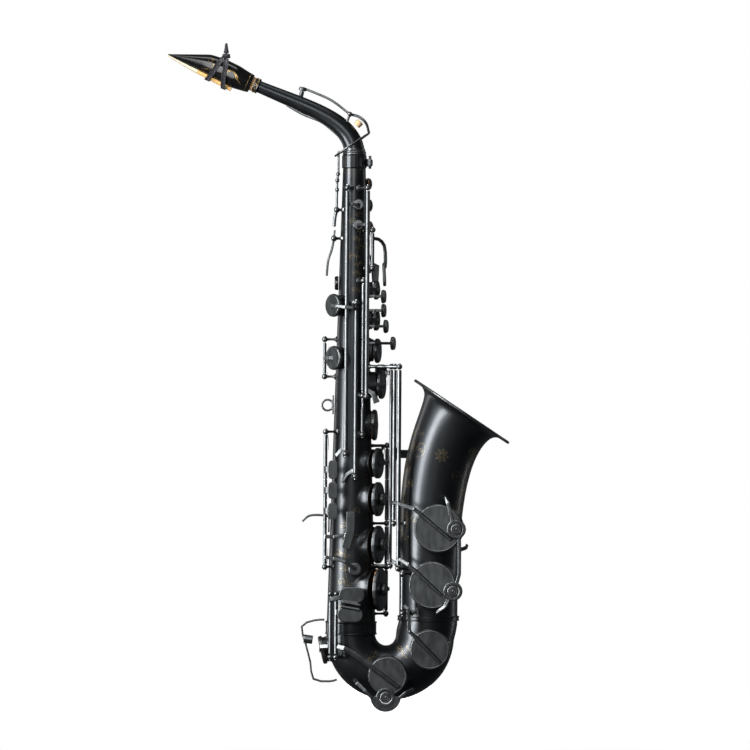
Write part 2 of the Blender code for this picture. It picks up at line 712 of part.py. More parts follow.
def little_finger_keys():
    """Low E flat and low C, with touches side by side that meet at two rollers."""
    plate_y = -38.6
    slant = Vector((0.985, 0, -0.174))
    e_flat_cup = {"centre": Vector((-1.4, 0, -261.5)), "normal": Vector((-0.974, 0, -0.225)), "radius": 15.2}
    BOW.add_hole(e_flat_cup, 14.0)
    upper = Vector((27.6, plate_y, -201.6))
    lower = Vector((26.2, plate_y, -222.6))
    roller = Vector((27.2, plate_y - 1.4, -210.6))
    top = cup_top(e_flat_cup, 0.2)
    solids = [
        hinge_tube(LOW_E_FLAT_ROD, under(-200.6), over(-267.9)),
        cup_solid(e_flat_cup),
        plate(upper, (0, -1, 0), (0, 0, 1), 27.0, 17.0, 2.6, 7.6),
        rod(roller - slant * 10, roller + slant * 10, 1.6, 8),
        bar([(*LOW_E_FLAT_ROD, -206.5), (6.0, plate_y - 0.2, -206.0), upper], 5.0, 2.2),
        bar([(*LOW_E_FLAT_ROD, -256.0), (-5.5, -26.0, -257.0), (top.x, -13.0, -259.5), top], 4.4, 2.2),
    ]
    node("low_e_flat_key", "key", solids, origin=(*LOW_E_FLAT_ROD, -254.0))

    cup = SIDE_CUPS["low_c_key"]
    BOW.add_hole(cup, 16.0)
    y = cup_top(cup).y - 0.4
    roller = Vector((26.6, plate_y - 1.4, -215.2))
    arm = [(*LOW_C_ROD, -256.0), (20.0, y - 1.5, -258.0), (28.0, y - 1.0, -262.5), (78.5, y, -299.0)]
    solids = [
        hinge_tube(LOW_C_ROD, under(-200.6), over(-267.9)),
        cup_solid(cup, 22),
        plate(lower, (0, -1, 0), (0, 0, 1), 27.0, 15.0, 2.6, 7.0),
        rod(roller - slant * 10, roller + slant * 10, 1.6, 8),
        bar([(*LOW_C_ROD, -220.0), (14.0, plate_y, -220.5), lower], 5.0, 2.2),
        bar(arm, [4.4, 5.0, 5.6, 4.0], 2.2, (0.57, 0, 0.82)),
        tube([Vector(p) + Vector((0, -1.2, 0)) for p in arm[1:]], 1.1, 6),
    ]
    turn = open_turn(LOW_C_ROD, cup, 3.0)
    node("low_c_key", "key", solids, origin=(*LOW_C_ROD, -256.0), turn=turn)
    for rod_xy in (LOW_E_FLAT_ROD, LOW_C_ROD):
        body_posts(rod_xy, (-200.6,))
        BOW.add_post((*rod_xy, -267.9), (BODY_X + 6.0, -6.0, -267.0))


# ---- keys of the player's left hand -------------------------------------------------------------
def around_body(angle_degrees, z, standoff):
    point = on_body(math.radians(angle_degrees), z, standoff)
    return point.x, point.y


def palm_keys():
    """Three keys opened by the left palm: cups high on the tube, touches hanging beside it."""
    for name, hole_angle, z, radius, rod_angle, low, touch in (
        ("palm_f_key", 30.0, 237.0, 6.6, 112.0, 200.0, (33.0, 37.0, 188.0)),
        ("palm_e_flat_key", 30.0, 214.0, 7.2, 89.0, 160.0, (42.0, 34.0, 158.0)),
        ("palm_d_key", 30.0, 190.0, 7.8, 66.0, 144.0, (50.0, 27.0, 148.0)),
    ):
        normal = out_of_body(math.radians(hole_angle))
        centre = on_body(math.radians(hole_angle), z, 3.0)
        cup = {"centre": centre, "normal": normal, "radius": radius}
        BODY.add_hole(cup, 7.5)
        rod_xy = around_body(rod_angle, (z + low) / 2, 8.0)
        top = centre + normal * 3.2
        mid_angle = math.radians((hole_angle + rod_angle) / 2)
        bend = on_body(mid_angle, z, 10.0)
        start = Vector((*rod_xy, z))
        hang = Vector((*rod_xy, low + 6.0))
        end = Vector(touch)
        solids = [
            hinge_tube(rod_xy, z + 4.0, low, 1.9),
            small_cup_disc(cup),
            bar([start, bend, top], 3.0, 1.8),
            bar([hang, (hang + end) / 2 + Vector((1.0, 3.0, 3.0)), end, end + Vector((0, 0.5, -16.0))],
                [3.0, 6.0, 10.0, 7.0], 2.2, (0.8, 0.0, 0.6)),
        ]
        node(name, "key", solids, origin=(*rod_xy, z))
        body_posts(rod_xy, (over(z + 4.0), under(low)))


def front_f_key():
    """The front F lever, hooked down over the upper stack."""
    hinge = (47.0, -14.0)
    solids = [
        hinge_tube(hinge, under(187.4), over(146.6), 1.9),
        tube(smooth_path([(*hinge, 178.0), (53.5, -9.0, 177.5), (59.4, -5.0, 171.0),
                          (60.8, -3.5, 156.0), (60.2, -3.0, 147.0)], 2), 2.0, 8),
        plate((59.6, -2.6, 140.0), (0.97, -0.1, 0.1), (-0.05, 0, 1), 9.6, 25.0, 3.0, 4.6),
    ]
    node("front_f_key", "key", solids, origin=(*hinge, 178.0))
    body_posts(hinge, (187.4, 146.6))


def table_lever():
    """The left little finger's C sharp lever: a long rod that works the C sharp cup below."""
    low = Vector((*C_SHARP_LEVER_ROD, over(-171.0) + 3.1))
    solids = [
        hinge_tube(C_SHARP_LEVER_ROD, under(41.6), over(-171.0), 2.0),
        bar([low, low + Vector((6.0, -2.0, -4.0)), low + Vector((9.5, -7.5, -11.0))], 4.0, 2.0),
        bar([(*C_SHARP_LEVER_ROD, 35.0), (67.0, 8.0, 35.0), (62.0, 22.0, 35.0)], 4.0, 2.0),
        plate((57.0, 30.5, 36.0), (0.45, 0.89, 0), (0, 0, 1), 14.0, 16.0, 2.6, 4.0),
        bar([(66.0, 14.0, 35.0), (61.5, 26.0, 35.4), (57.0, 30.0, 36.0)], 5.0, 2.0),
    ]
    node("c_sharp_lever", "key", solids, origin=(*C_SHARP_LEVER_ROD, 38.0))
    body_posts(C_SHARP_LEVER_ROD, (41.6, -171.0))
    body_posts(LOW_B_FLAT_ROD, (41.6,))
    body_posts(LOW_B_ROD, (41.6,))


OCTAVE_PIN_X = 9.8
OCTAVE_PIVOT_Z = 209.0
THUMB_PIVOT = (5.6, 0.0, 178.4)


def octave_pieces():
    """The thumb key, the pin that it swings, and the rest that the thumb stands on."""
    x, _, z = THUMB_PIVOT
    solids = [
        rod((x, -7.0, z), (x, 7.0, z), 2.2, 10),
        bar(smooth_path([(x, 0, z), (x - 2.4, 0, z - 12.0), (x - 6.2, 0, z - 24.0), (x - 7.6, 0, z - 40.0)], 3),
            [6.0 + 7.0 * min(1.0, i / 6) for i in range(10)], 2.6, (0, 1, 0)),
        bar([(x, 0, z), (x + 0.6, 0, z + 9.0)], 4.0, 2.2, (0, 1, 0)),
    ]
    node("octave_thumb_key", "key", solids, origin=THUMB_PIVOT)
    for y in (-over(7.0), over(7.0)):
        BODY.add_post((x, y, z), (BODY_X - 8.0, y * 0.6, z))

    px = OCTAVE_PIN_X
    solids = [
        rod((px - 1.5, -6.0, OCTAVE_PIVOT_Z), (px - 1.5, 6.0, OCTAVE_PIVOT_Z), 2.2, 10),
        tube([(px - 1.5, 0, OCTAVE_PIVOT_Z), (px - 1.2, 0, 240.0), (px, 0, 250.0), (px, 0, 272.0)], 1.35, 8),
        tube([(px - 1.5, 0, OCTAVE_PIVOT_Z), (px - 3.4, 0, OCTAVE_PIVOT_Z - 8.0),
              (px - 4.2, 0, OCTAVE_PIVOT_Z - 18.0)], 1.9, 8),
        rod((px - 1.35, 0, 229.0), (px - 1.35, 0, 232.0), 2.3, 10),
        rod((px - 1.2, 0, 239.0), (px - 1.0, 0, 242.0), 2.3, 10),
        rod((px - 0.4, 0, 246.0), (px - 0.2, 0, 248.6), 2.3, 10),
    ]
    node("octave_mechanism", "key", solids, origin=(px - 1.5, 0, OCTAVE_PIVOT_Z))
    for y in (-over(6.0), over(6.0)):
        BODY.add_post((px - 1.5, y, OCTAVE_PIVOT_Z), (BODY_X - 7.0, y * 0.6, OCTAVE_PIVOT_Z))

    rest_z = 130.6
    edge = BODY_X - body_radius(rest_z)
    node("thumb_rest", "ebonite", [disc((edge - GAP - 0.2, 0, rest_z), (-1, 0, 0), 7.5, 4.0, 20, 1.2)])


# ---- neck and mouthpiece ------------------------------------------------------------------------
NECK_OUT = Vector((-math.cos(NECK_END_ANGLE), 0, math.sin(NECK_END_ANGLE)))
NECK_UP = Vector((math.sin(NECK_END_ANGLE), 0, math.cos(NECK_END_ANGLE)))
NECK_END = Vector((BODY_X - NECK_REACH, 0, RECEIVER_TOP_Z + NECK_RISE))
SHANK_END = NECK_END + NECK_OUT * MOUTHPIECE_GAP
COLLAR_Z = RECEIVER_TOP_Z + GAP
NECK_RING_LENGTH = 5.2


def over_collar(x, z):
    """A point in the neck's plane, x from the body axis and z over the neck's collar."""
    return Vector((BODY_X + x, 0, COLLAR_Z + z))


def neck_line(steps=9):
    """The neck's centre line from its collar to the cork end, and its radius at each point."""
    a = Vector((BODY_X, 0, COLLAR_Z))
    b = a + Vector((0, 0, 37.0))
    c = NECK_END - NECK_OUT * 55.0
    points = [
        a * (1 - t) ** 3 + b * 3 * t * (1 - t) ** 2 + c * 3 * t * t * (1 - t) + NECK_END * t ** 3
        for t in (i / steps for i in range(steps + 1))
    ]
    radii = [NECK_BASE_R + (NECK_END_R - NECK_BASE_R) * i / steps for i in range(steps + 1)]
    return points, radii


def in_mouthpiece(u, v, y=0.0):
    """A point u along the mouthpiece from its shank end and v up across it."""
    return SHANK_END + NECK_OUT * u + NECK_UP * v + Vector((0, y, 0))


def mouthpiece_section(u):
    """(top, table, half width) of the mouthpiece at u: a barrel that narrows to a beak."""
    stations = (
        (0.0, 9.4, -10.4, 9.9),
        (5.0, 9.8, -11.2, 10.6),
        (18.0, 12.0, -12.8, 12.2),
        (36.0, 12.9, -11.3, 12.6),
        (52.0, 11.1, -10.0, 11.8),
        (MOUTHPIECE_LENGTH, -6.7, -7.6, 7.6),
    )
    for (u0, *low), (u1, *high) in zip(stations, stations[1:]):
        if u <= u1:
            share = (u - u0) / (u1 - u0)
            return [a + (b - a) * share for a, b in zip(low, high)]
    return stations[-1][1:]


def mouthpiece_ring(u, count=24):
    """An outline at u: round at the shank, flat underneath where the reed lies."""
    top, table, half = mouthpiece_section(u)
    middle = (top + table) / 2
    flat = min(1.0, max(0.0, (u - 8.0) / (TABLE_START - 8.0)))
    points = []
    for i in range(count):
        a = 2 * math.pi * i / count
        sharp = 1.0 - (0.45 * flat if math.sin(a) < 0 else 0.12 * flat)
        y = half * math.copysign(abs(math.cos(a)) ** sharp, math.cos(a))
        v = (top - middle) * math.copysign(abs(math.sin(a)) ** sharp, math.sin(a))
        points.append(in_mouthpiece(u, middle + v, y))
    return points


def table_line(u):
    return mouthpiece_section(u)[1]


def reed_underside(u):
    """The reed is full at its butt and scraped to a thin tip."""
    scrape = max(0.0, (u - 58.0) / (MOUTHPIECE_LENGTH - 58.0))
    return table_line(u) - GAP - REED_THICKNESS * (1 - 0.78 * scrape ** 1.6)


def strap_loop(top_u, bottom_u, width, thickness, clear):
    """One strap of the ligature: a leaning loop round the mouthpiece and the reed."""
    rings = []
    steps = 20
    for i in range(steps):
        a = 2 * math.pi * i / steps
        share = (1 - math.sin(a)) / 2
        u = top_u + (bottom_u - top_u) * share
        top, _, half = mouthpiece_section(u)
        low = reed_underside(u) - 0.4
        middle = (top + low) / 2
        ring = []
        for du, out in ((-width / 2, clear), (width / 2, clear),
                        (width / 2, clear + thickness), (-width / 2, clear + thickness)):
            sharp = 0.72
            y = (half + out) * math.copysign(abs(math.cos(a)) ** sharp, math.cos(a))
            v = ((top - low) / 2 + out) * math.copysign(abs(math.sin(a)) ** sharp, math.sin(a))
            ring.append(in_mouthpiece(u + du, middle + v, y))
        rings.append(ring)
    return rings_solid(rings, closed=True)


def neck_pieces():
    points, radii = neck_line()
    cork_end = NECK_END + NECK_OUT * (NECK_RING_LENGTH + CORK_LENGTH)
    outer = tube([points[0] + Vector((0, 0, 2.0)), *points[1:]], radii, 16)
    inner_points = [points[0] - Vector((0, 0, 16.0))] + points[1:-1] + [cork_end + NECK_OUT * 3]
    inner_radii = [radii[0] - WALL] + [r - WALL for r in radii[1:-1]] + [NECK_END_R - WALL]
    cut = tube(inner_points, inner_radii, 16)
    pip = NECK_PIP_FOOT
    pivot_foot = over_collar(-7.8, 35.1)
    solids = [
        outer,
        rod((BODY_X, 0, COLLAR_Z + 0.2), (BODY_X, 0, BODY_TOP_Z + 2.5), TENON_R, 20),
        turned((BODY_X, 0, COLLAR_Z), (0, 0, 1), [(0, 12.6), (2.6, 12.6), (4.0, 11.6)], 20),
        rod(NECK_END - NECK_OUT * 1.0, cork_end, NECK_END_R, 16),
        turned(NECK_END, NECK_OUT, [(0, 7.6), (1.0, 8.4), (NECK_RING_LENGTH - 1.0, 8.4),
                                    (NECK_RING_LENGTH, 7.6)], 16),
        rod(pip, NECK_PIP_TOP, 2.4, 10),
        bar([over_collar(*at) for at in NECK_STAY], [4.0, 5.0, 6.0, 7.0, 8.0], 2.4, (0, 1, 0)),
        bar([over_collar(-66.8, 57.1), over_collar(-66.8, 48.6)], 4.0, 3.0, (0, 1, 0)),
    ]
    for y in (-5.6, 5.6):
        solids.append(ball((NECK_PIVOT[0], y, NECK_PIVOT[2]), 2.6))
        solids.append(rod(pivot_foot + Vector((-1.5, y * 0.6, -2.5)), (NECK_PIVOT[0], y, NECK_PIVOT[2]), 1.7, 6))
    bore = rod((BODY_X, 0, COLLAR_Z + 6.0), (BODY_X, 0, BODY_TOP_Z), TENON_R - WALL, 16)
    hole = rod(pip - (NECK_PIP_TOP - pip), NECK_PIP_TOP + (NECK_PIP_TOP - pip), 1.2, 8)
    node("neck", "lacquer", solids, [cut, bore, hole], origin=(BODY_X, 0, COLLAR_Z))

    cork_start = NECK_END + NECK_OUT * (NECK_RING_LENGTH + GAP)
    node("neck_cork", "cork",
         [turned(cork_start, NECK_OUT, [(0, CORK_R), (CORK_LENGTH - 2.0, CORK_R), (CORK_LENGTH - GAP, CORK_R - 0.4)], 20)],
         [rod(cork_start - NECK_OUT, cork_end + NECK_OUT, NECK_END_R + GAP, 20)])


NECK_PIVOT = tuple(over_collar(-5.2, 43.5))
NECK_PIP_FOOT = over_collar(-58.3, 59.1)
NECK_PIP_TOP = over_collar(-56.4, 67.9)
NECK_STAY = ((-72.8, 52.6), (-55.5, 43.0), (-36.4, 35.3), (-23.7, 25.8), (-12.2, 15.7))


def neck_octave_key():
    """The key on the neck: a small pad over its pip, a leaf, and a ring round the neck's foot."""
    up = (NECK_PIP_TOP - NECK_PIP_FOOT).normalized()
    pad = NECK_PIP_TOP + up * PAD_CLEAR
    pivot = Vector(NECK_PIVOT)
    ring_right = over_collar(15.2, 23.1)
    ring_left = over_collar(-20.6, -1.3)
    middle = (ring_right + ring_left) / 2
    major = (ring_right - ring_left) / 2
    loop = [middle + major * math.cos(a) + Vector((0, 15.4, 0)) * math.sin(a)
            for a in (2 * math.pi * i / 24 for i in range(24))]
    normal = major.cross(Vector((0, 1, 0))).normalized()
    rings = []
    for i in range(24):
        a = 2 * math.pi * i / 24
        outward = (loop[i] - middle).normalized()
        rings.append([loop[i] + (outward * math.cos(b) + normal * math.sin(b)) * 1.15
                      for b in (2 * math.pi * k / 6 for k in range(6))])
    solids = [
        rings_solid(rings, closed=True),
        disc(pad, up, 4.0, 4.0, 12, 0.8),
        bar(smooth_path([pad + up * 3.0, over_collar(-40.8, 65.4), over_collar(-24.0, 57.6), pivot], 4),
            [3.2 + 0.15 * i for i in range(13)], 2.6, (0, 1, 0)),
        rod(pivot - Vector((0, 2.6, 0)), pivot + Vector((0, 2.6, 0)), 2.4, 10),
        bar(smooth_path([pivot, over_collar(4.4, 40.9), over_collar(12.2, 34.0), ring_right + Vector((0.3, 0, 0))], 4),
            [4.4 + 7.0 * math.sin(math.pi * i / 12) for i in range(13)], 2.8, (0, 1, 0)),
    ]
    node("neck_octave_key", "key", solids, origin=NECK_PIVOT)


def mouthpiece_pieces():
    stations = [0.0, 1.6, 6.0, 12.0, TABLE_START, 28.0, 36.0, 44.0, 52.0, 66.0, 80.0, MOUTHPIECE_LENGTH]
    body = rings_solid([mouthpiece_ring(u) for u in stations])
    bore = rod(in_mouthpiece(-2.0, 0), in_mouthpiece(24.0, 0), CORK_R + GAP, 20)
    chamber = []
    for u, half, low, high in ((16.0, 4.4, -5.0, 5.0), (40.0, 4.8, -6.0, 3.6), (44.0, 4.8, -14.0, 3.2),
                               (70.0, 5.2, -13.0, -2.0), (88.0, 5.4, -11.0, -6.4)):
        chamber.append([in_mouthpiece(u, low, -half), in_mouthpiece(u, low, half),
                        in_mouthpiece(u, high, half), in_mouthpiece(u, high, -half)])
    node("mouthpiece", "ebonite", [body], [bore, rings_solid(chamber)])

    rings = []
    for u in (TABLE_START - 1.5, 40.0, 58.0, 76.0, 88.0, MOUTHPIECE_LENGTH + 0.3):
        half = REED_HALF_WIDTH + 1.0 * (u - TABLE_START) / MOUTHPIECE_LENGTH
        if u > 90:
            half -= 1.6
        top, low = table_line(u) - GAP, reed_underside(u)
        rings.append([in_mouthpiece(u, top, -half), in_mouthpiece(u, top, half),
                      in_mouthpiece(u, low + 0.5 * (top - low), half),
                      in_mouthpiece(u, low, half * 0.55), in_mouthpiece(u, low, -half * 0.55),
                      in_mouthpiece(u, low + 0.5 * (top - low), -half)])
    node("reed", "cane", [rings_solid(rings)])

    block = in_mouthpiece(36.5, 16.3)
    screw_x, screw_z = block.x, block.z
    solids = [
        strap_loop(37.5, 45.2, 5.2, 1.0, 0.5),
        strap_loop(35.5, 25.4, 5.2, 1.0, 0.5),
        plate(block, (0, 0, 1), (1, 0, 0), 9.0, 7.0, 4.6, 1.6, 2),
    ]
    hole = rod((screw_x, 0, screw_z - 1.0), (screw_x, 0, screw_z + 4.0), 1.3, 10)
    node("ligature", "strap", solids, [hole])
    top = screw_z + 2.3
    profile = [(-1.8, 1.0), (GAP, 1.0), (GAP + 0.01, 2.1), (2.6, 2.6), (5.0, 2.3), (9.6, 1.5), (11.2, 0.7)]
    node("ligature_screw", "strap", [turned((screw_x, 0, top), (0, 0, 1), profile, 12)],
         origin=(screw_x, 0, top))


# ---- fixed fittings -----------------------------------------------------------------------------
SCREW_X = BODY_X + RECEIVER_R + 3.4
SCREW_Z = BODY_TOP_Z + 6.6
EAR_THICKNESS = 3.0


def receiver_pieces():
    solids = [
        turned((BODY_X, 0, BODY_TOP_Z + GAP), (0, 0, 1),
               [(0, RECEIVER_R - 0.6), (0.8, RECEIVER_R), (RECEIVER_TOP_Z - BODY_TOP_Z - GAP - 0.8, RECEIVER_R),
                (RECEIVER_TOP_Z - BODY_TOP_Z - GAP, RECEIVER_R - 0.6)], 20),
    ]
    for side in (-1, 1):
        y = side * (0.8 + EAR_THICKNESS / 2)
        solids.append(plate((SCREW_X - 2.0, y, SCREW_Z), (0, 1, 0), (0, 0, 1), 10.0, 8.0, EAR_THICKNESS, 2.0, 2))
    bore = rod((BODY_X, 0, BODY_TOP_Z - 2), (BODY_X, 0, RECEIVER_TOP_Z + 2), TENON_R + GAP, 20)
    slot = plate((SCREW_X - 3.0, 0, SCREW_Z), (0, 1, 0), (0, 0, 1), 16.0, 30.0, 1.6, 0.2, 1)
    hole = rod((SCREW_X, -9, SCREW_Z), (SCREW_X, 9, SCREW_Z), 1.6, 10)
    node("neck_receiver", "lacquer", solids, [bore, slot, hole])
    start = -(0.8 + EAR_THICKNESS + GAP)
    solids = [
        rod((SCREW_X, 6.4, SCREW_Z), (SCREW_X, start - 1.0, SCREW_Z), 1.25, 10),
        rod((SCREW_X, start, SCREW_Z), (SCREW_X, start - 7.4, SCREW_Z), 2.5, 10),
        plate((SCREW_X, start - 10.0, SCREW_Z), (1, 0, 0), (0, 0, 1), 8.4, 14.0, 3.0, 4.0),
    ]
    node("neck_screw", "key", solids, origin=(SCREW_X, start, SCREW_Z))


def tube_pieces():
    """The body tube, bow and bell, each one closed shell with what is soldered to it."""
    up = Vector((0, 0, 1))
    length = BODY_TOP_Z - BODY_BOTTOM_Z
    foot = Vector((BODY_X, 0, BODY_BOTTOM_Z))
    body = turned(foot, up, [(0, BODY_BOTTOM_R), (length, BODY_TOP_R)], 24)
    slope = (BODY_BOTTOM_R - BODY_TOP_R) / length
    bore = turned(foot - up * 4, up, [(0, BODY_BOTTOM_R - WALL + slope * 4),
                                      (length + 8, BODY_TOP_R - WALL - slope * 4)], 24)
    node("body_tube", "lacquer", [body, *BODY.solids], [bore, *BODY.bores])

    centre = Vector((BODY_X + BOW_R, 0, BOW_Z))
    steps = 10
    line, radii = [Vector((BODY_X, 0, BODY_BOTTOM_Z - GAP))], [BOW_TUBE_START_R]
    for i in range(steps + 1):
        a = math.pi * (1 + i / steps)
        line.append(centre + Vector((math.cos(a), 0, math.sin(a))) * BOW_R)
        radii.append(BOW_TUBE_START_R + (BOW_TUBE_END_R - BOW_TUBE_START_R) * min(1.0, i / steps * 1.25))
    for below in (4.0, GAP):
        line.append(Vector((BELL_X, 0, BELL_JOINT_Z - below)))
        radii.append(BOW_TUBE_END_R)
    inner = [line[0] + up * 4, *line[1:-1], line[-1] + up * 4]
    bow = tube(line, radii, 24)
    cut = tube(inner, [r - WALL for r in radii], 24)
    node("bow", "lacquer", [bow, *BOW.solids], [cut, *BOW.bores])

    spine = bell_spine()
    profile = bell_profile()
    total = sum((b - a).length for a, b in zip(spine, spine[1:]))
    profile = [p for p in profile if p[0] < total - 3] + [(total, BELL_TUBE_R)]
    inside = offset_profile(profile, WALL)
    inside = [(inside[0][0] - 5.0, inside[0][1] + 20.0)] + inside[:-1] + [(total + 4.0, BELL_TUBE_R - WALL)]
    shell = rings_solid(spine_rings(spine, profile, 32))
    hollow = rings_solid(spine_rings(spine, inside, 32))
    tangent = (spine[-1] - spine[-2]).normalized()
    side = Vector((0, 1, 0))
    rim = circle(RIM_CENTRE - tangent * 0.6, tangent, BELL_RIM_R - RIM_ROLL_R, 32, side, tangent.cross(side))
    roll = []
    for point in rim:
        outward = (point - RIM_CENTRE).normalized()
        roll.append([point + (outward * math.cos(b) + tangent * math.sin(b)) * RIM_ROLL_R
                     for b in (2 * math.pi * k / 6 for k in range(6))])
    node("bell", "lacquer", [shell, *BELL.solids], [hollow, *BELL.bores], [rings_solid(roll, closed=True)])


def ring(centre, inner, outer, height, count=24):
    """A plain band round a vertical tube, centre at its middle height."""
    base = Vector(centre) - Vector((0, 0, height / 2))
    outside = rod(base, base + Vector((0, 0, height)), outer, count)
    inside = rod(base - Vector((0, 0, 2)), base + Vector((0, 0, height + 2)), inner, count)
    return outside, inside


def ferrules():
    z = BODY_BOTTOM_Z - FERRULE_HEIGHT / 2 + 1.0
    outside, inside = ring((BODY_X, 0, z), BODY_BOTTOM_R + GAP, BODY_BOTTOM_R + GAP + FERRULE_WALL, FERRULE_HEIGHT)
    node("body_bow_ferrule", "lacquer", [outside], [inside])
    outside, inside = ring((BELL_X, 0, BELL_JOINT_Z), BELL_TUBE_R + GAP + 0.5,
                           BELL_TUBE_R + GAP + 0.5 + FERRULE_WALL, 5.0)
    node("bow_bell_ferrule", "lacquer", [outside], [inside])


def strap_ring():
    rings = []
    for i in range(24):
        a = 2 * math.pi * i / 24
        outward = Vector((math.cos(a), 0, math.sin(a)))
        rings.append([outward * (STRAP_RING_R + STRAP_WIRE_R * math.cos(b)) + Vector((0, STRAP_WIRE_R * math.sin(b), 0))
                      for b in (2 * math.pi * k / 8 for k in range(8))])
    plate_x = BODY_X - body_radius(-10.0) - GAP - 0.9
    back = plate((plate_x, 0, 0.4), (1, 0, 0), (0, 0, 1), 6.0, 20.5, 1.6, 2.6)
    node("strap_ring", "key", [rings_solid(rings, closed=True), back])


def thumb_hook():
    edge = BODY_X - body_radius(-136.0) - GAP
    node("thumb_hook", "key", [
        plate((edge - 1.0, 0, -122.0), (1, 0, 0), (0, 0, 1), 10.0, 28.0, 1.8, 4.0),
        bar(smooth_path([(edge - 1.0, 0, -119.0), (-8.0, 0, -117.6), (-19.0, 0, -118.6), (-26.0, 0, -124.5)], 3),
            14.0, 2.2, (0, 1, 0)),
    ])


# ---- guards, braces and their felts -------------------------------------------------------------
FELT_R = 6.4
FELT_RING_R = 10.4
FELT_THICKNESS = 3.4
LOW_C_GUARD_R = 16.4


def felt_holder(centre, y):
    """A guard's threaded ring with its felt adjuster, facing a cup across y."""
    middle = Vector((centre[0], y, centre[1]))
    outside = disc(middle + Vector((0, 1.4, 0)), (0, -1, 0), FELT_RING_R, 2.8, 16, 0.7)
    hole = rod(middle + Vector((0, 4, 0)), middle - Vector((0, 4, 0)), FELT_R + GAP, 14)
    felt = disc(middle + Vector((0, 2.0, 0)), (0, -1, 0), FELT_R, FELT_THICKNESS, 14, 0.8)
    return outside, hole, felt


def bell_key_guard():
    """One guard over the two bell keys, with a felt for each, on feet that stand on the bell."""
    y = -51.0
    upper, lower = (138.0, -130.5), (134.8, -196.3)
    ring_a, hole_a, felt_a = felt_holder(upper, y)
    ring_b, hole_b, felt_b = felt_holder(lower, y)
    surface = -BELL_TUBE_R
    legs = (
        [(upper[0] - 3, y, upper[1] + 4), (129.0, y, -103.0), (126.3, y + 3.0, -97.5), (126.3, surface - 3.2, -96.5)],
        [(upper[0] + 3, y, upper[1] - 4), (141.5, y, -152.0), (141.5, y, -178.0), (lower[0] + 3, y, lower[1] + 4)],
        [(141.3, y, -152.5), (147.5, y + 3.0, -150.5), (149.5, -36.0, -149.5), (149.6, -10.0, -149.0)],
        [(lower[0] - 3, y, lower[1] - 4), (127.0, y, -212.0), (118.4, y + 3.0, -219.0), (117.8, surface - 3.4, -220.4)],
    )
    solids = [ring_a, ring_b, *[bar(leg, 3.8, 2.6, (0.3, 0, 1)) for leg in legs]]
    node("bell_key_guard", "key", solids, [hole_a, hole_b])
    node("low_b_flat_felt", "felt", [felt_a])
    node("low_b_felt", "felt", [felt_b])


def low_c_guard():
    y = -48.0
    centre = (64.2, -309.5)
    ring_c, hole_c, felt_c = felt_holder(centre, y)
    outline = []
    for i in range(17):
        a = math.pi * (1.0 + i / 16)
        outline.append((centre[0] + LOW_C_GUARD_R * math.cos(a), centre[1] + 1.0 + LOW_C_GUARD_R * math.sin(a)))
    half_disc = rings_solid([[(x, y + side, z) for x, z in outline] for side in (-1.2, 1.2)])
    ends = centre[0] - LOW_C_GUARD_R + 1.5, centre[0] + LOW_C_GUARD_R - 1.5
    left = [(ends[0], y, centre[1] - 0.4), (43.0, y, -303.0), (34.5, y + 2.0, -295.0), (31.5, -26.0, -292.5)]
    right = [(ends[1], y, centre[1] - 0.4), (85.5, y, -304.5), (92.0, y + 3.0, -302.0), (93.0, -24.5, -301.5)]
    solids = [
        ring_c,
        half_disc,
        bar(left, 4.0, 3.4, (0, 1, 0)),
        bar(right, 4.0, 3.4, (0, 1, 0)),
    ]
    node("low_c_guard", "key", solids, [hole_c])
    node("low_c_felt", "felt", [felt_c])


def low_e_flat_guard():
    path = [(BODY_X - body_radius(-231.0) - 2.4, 0, -229.5), (-13.0, 0, -230.5), (-26.0, 0, -237.0),
            (-21.5, 0, -256.0), (-16.5, 0, -275.0), (-13.0, 0, -293.0), (4.0, 0, -295.5), (12.0, 0, -293.5)]
    solids = [
        bar(smooth_path(path, 2), 7.0, 2.0, (0, 1, 0)),
        rod((-23.6, 0, -250.0), (-14.2, 0, -251.2), 4.6, 12),
    ]
    node("low_e_flat_guard", "key", solids)


def bell_brace():
    """The stay between body and bell, on the player's left of the stack, with a ring in its middle."""
    y, z = 25.0, -52.0
    rings = []
    for i in range(20):
        a = 2 * math.pi * i / 20
        outward = Vector((math.cos(a), 0, math.sin(a)))
        rings.append([Vector((66.0, y, z)) + outward * (9.0 + 1.8 * math.cos(b)) + Vector((0, 1.8 * math.sin(b), 0))
                      for b in (2 * math.pi * k / 6 for k in range(6))])
    solids = [
        rings_solid(rings, closed=True),
        bar([(42.5, 18.2, z), (48.0, 22.5, z), (57.5, y, z)], 9.0, 2.6),
        bar([(74.5, y, z), (82.0, 22.0, z), (88.0, 18.5, z)], 9.0, 2.6),
    ]
    node("bell_brace", "key", solids)


def build():
    clear_scene()
    stack_keys()
    bell_side_keys()
    long_rod_keys()
    side_touches()
    little_finger_keys()
    palm_keys()
    front_f_key()
    table_lever()
    octave_pieces()
    neck_pieces()
    neck_octave_key()
    mouthpiece_pieces()
    receiver_pieces()
    tube_pieces()
    ferrules()
    strap_ring()
    thumb_hook()
    bell_key_guard()
    low_c_guard()
    low_e_flat_guard()
    bell_brace()


build()
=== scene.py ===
import json
import math

import bmesh
import bpy
from mathutils import Matrix, Vector
from mathutils.bvhtree import BVHTree


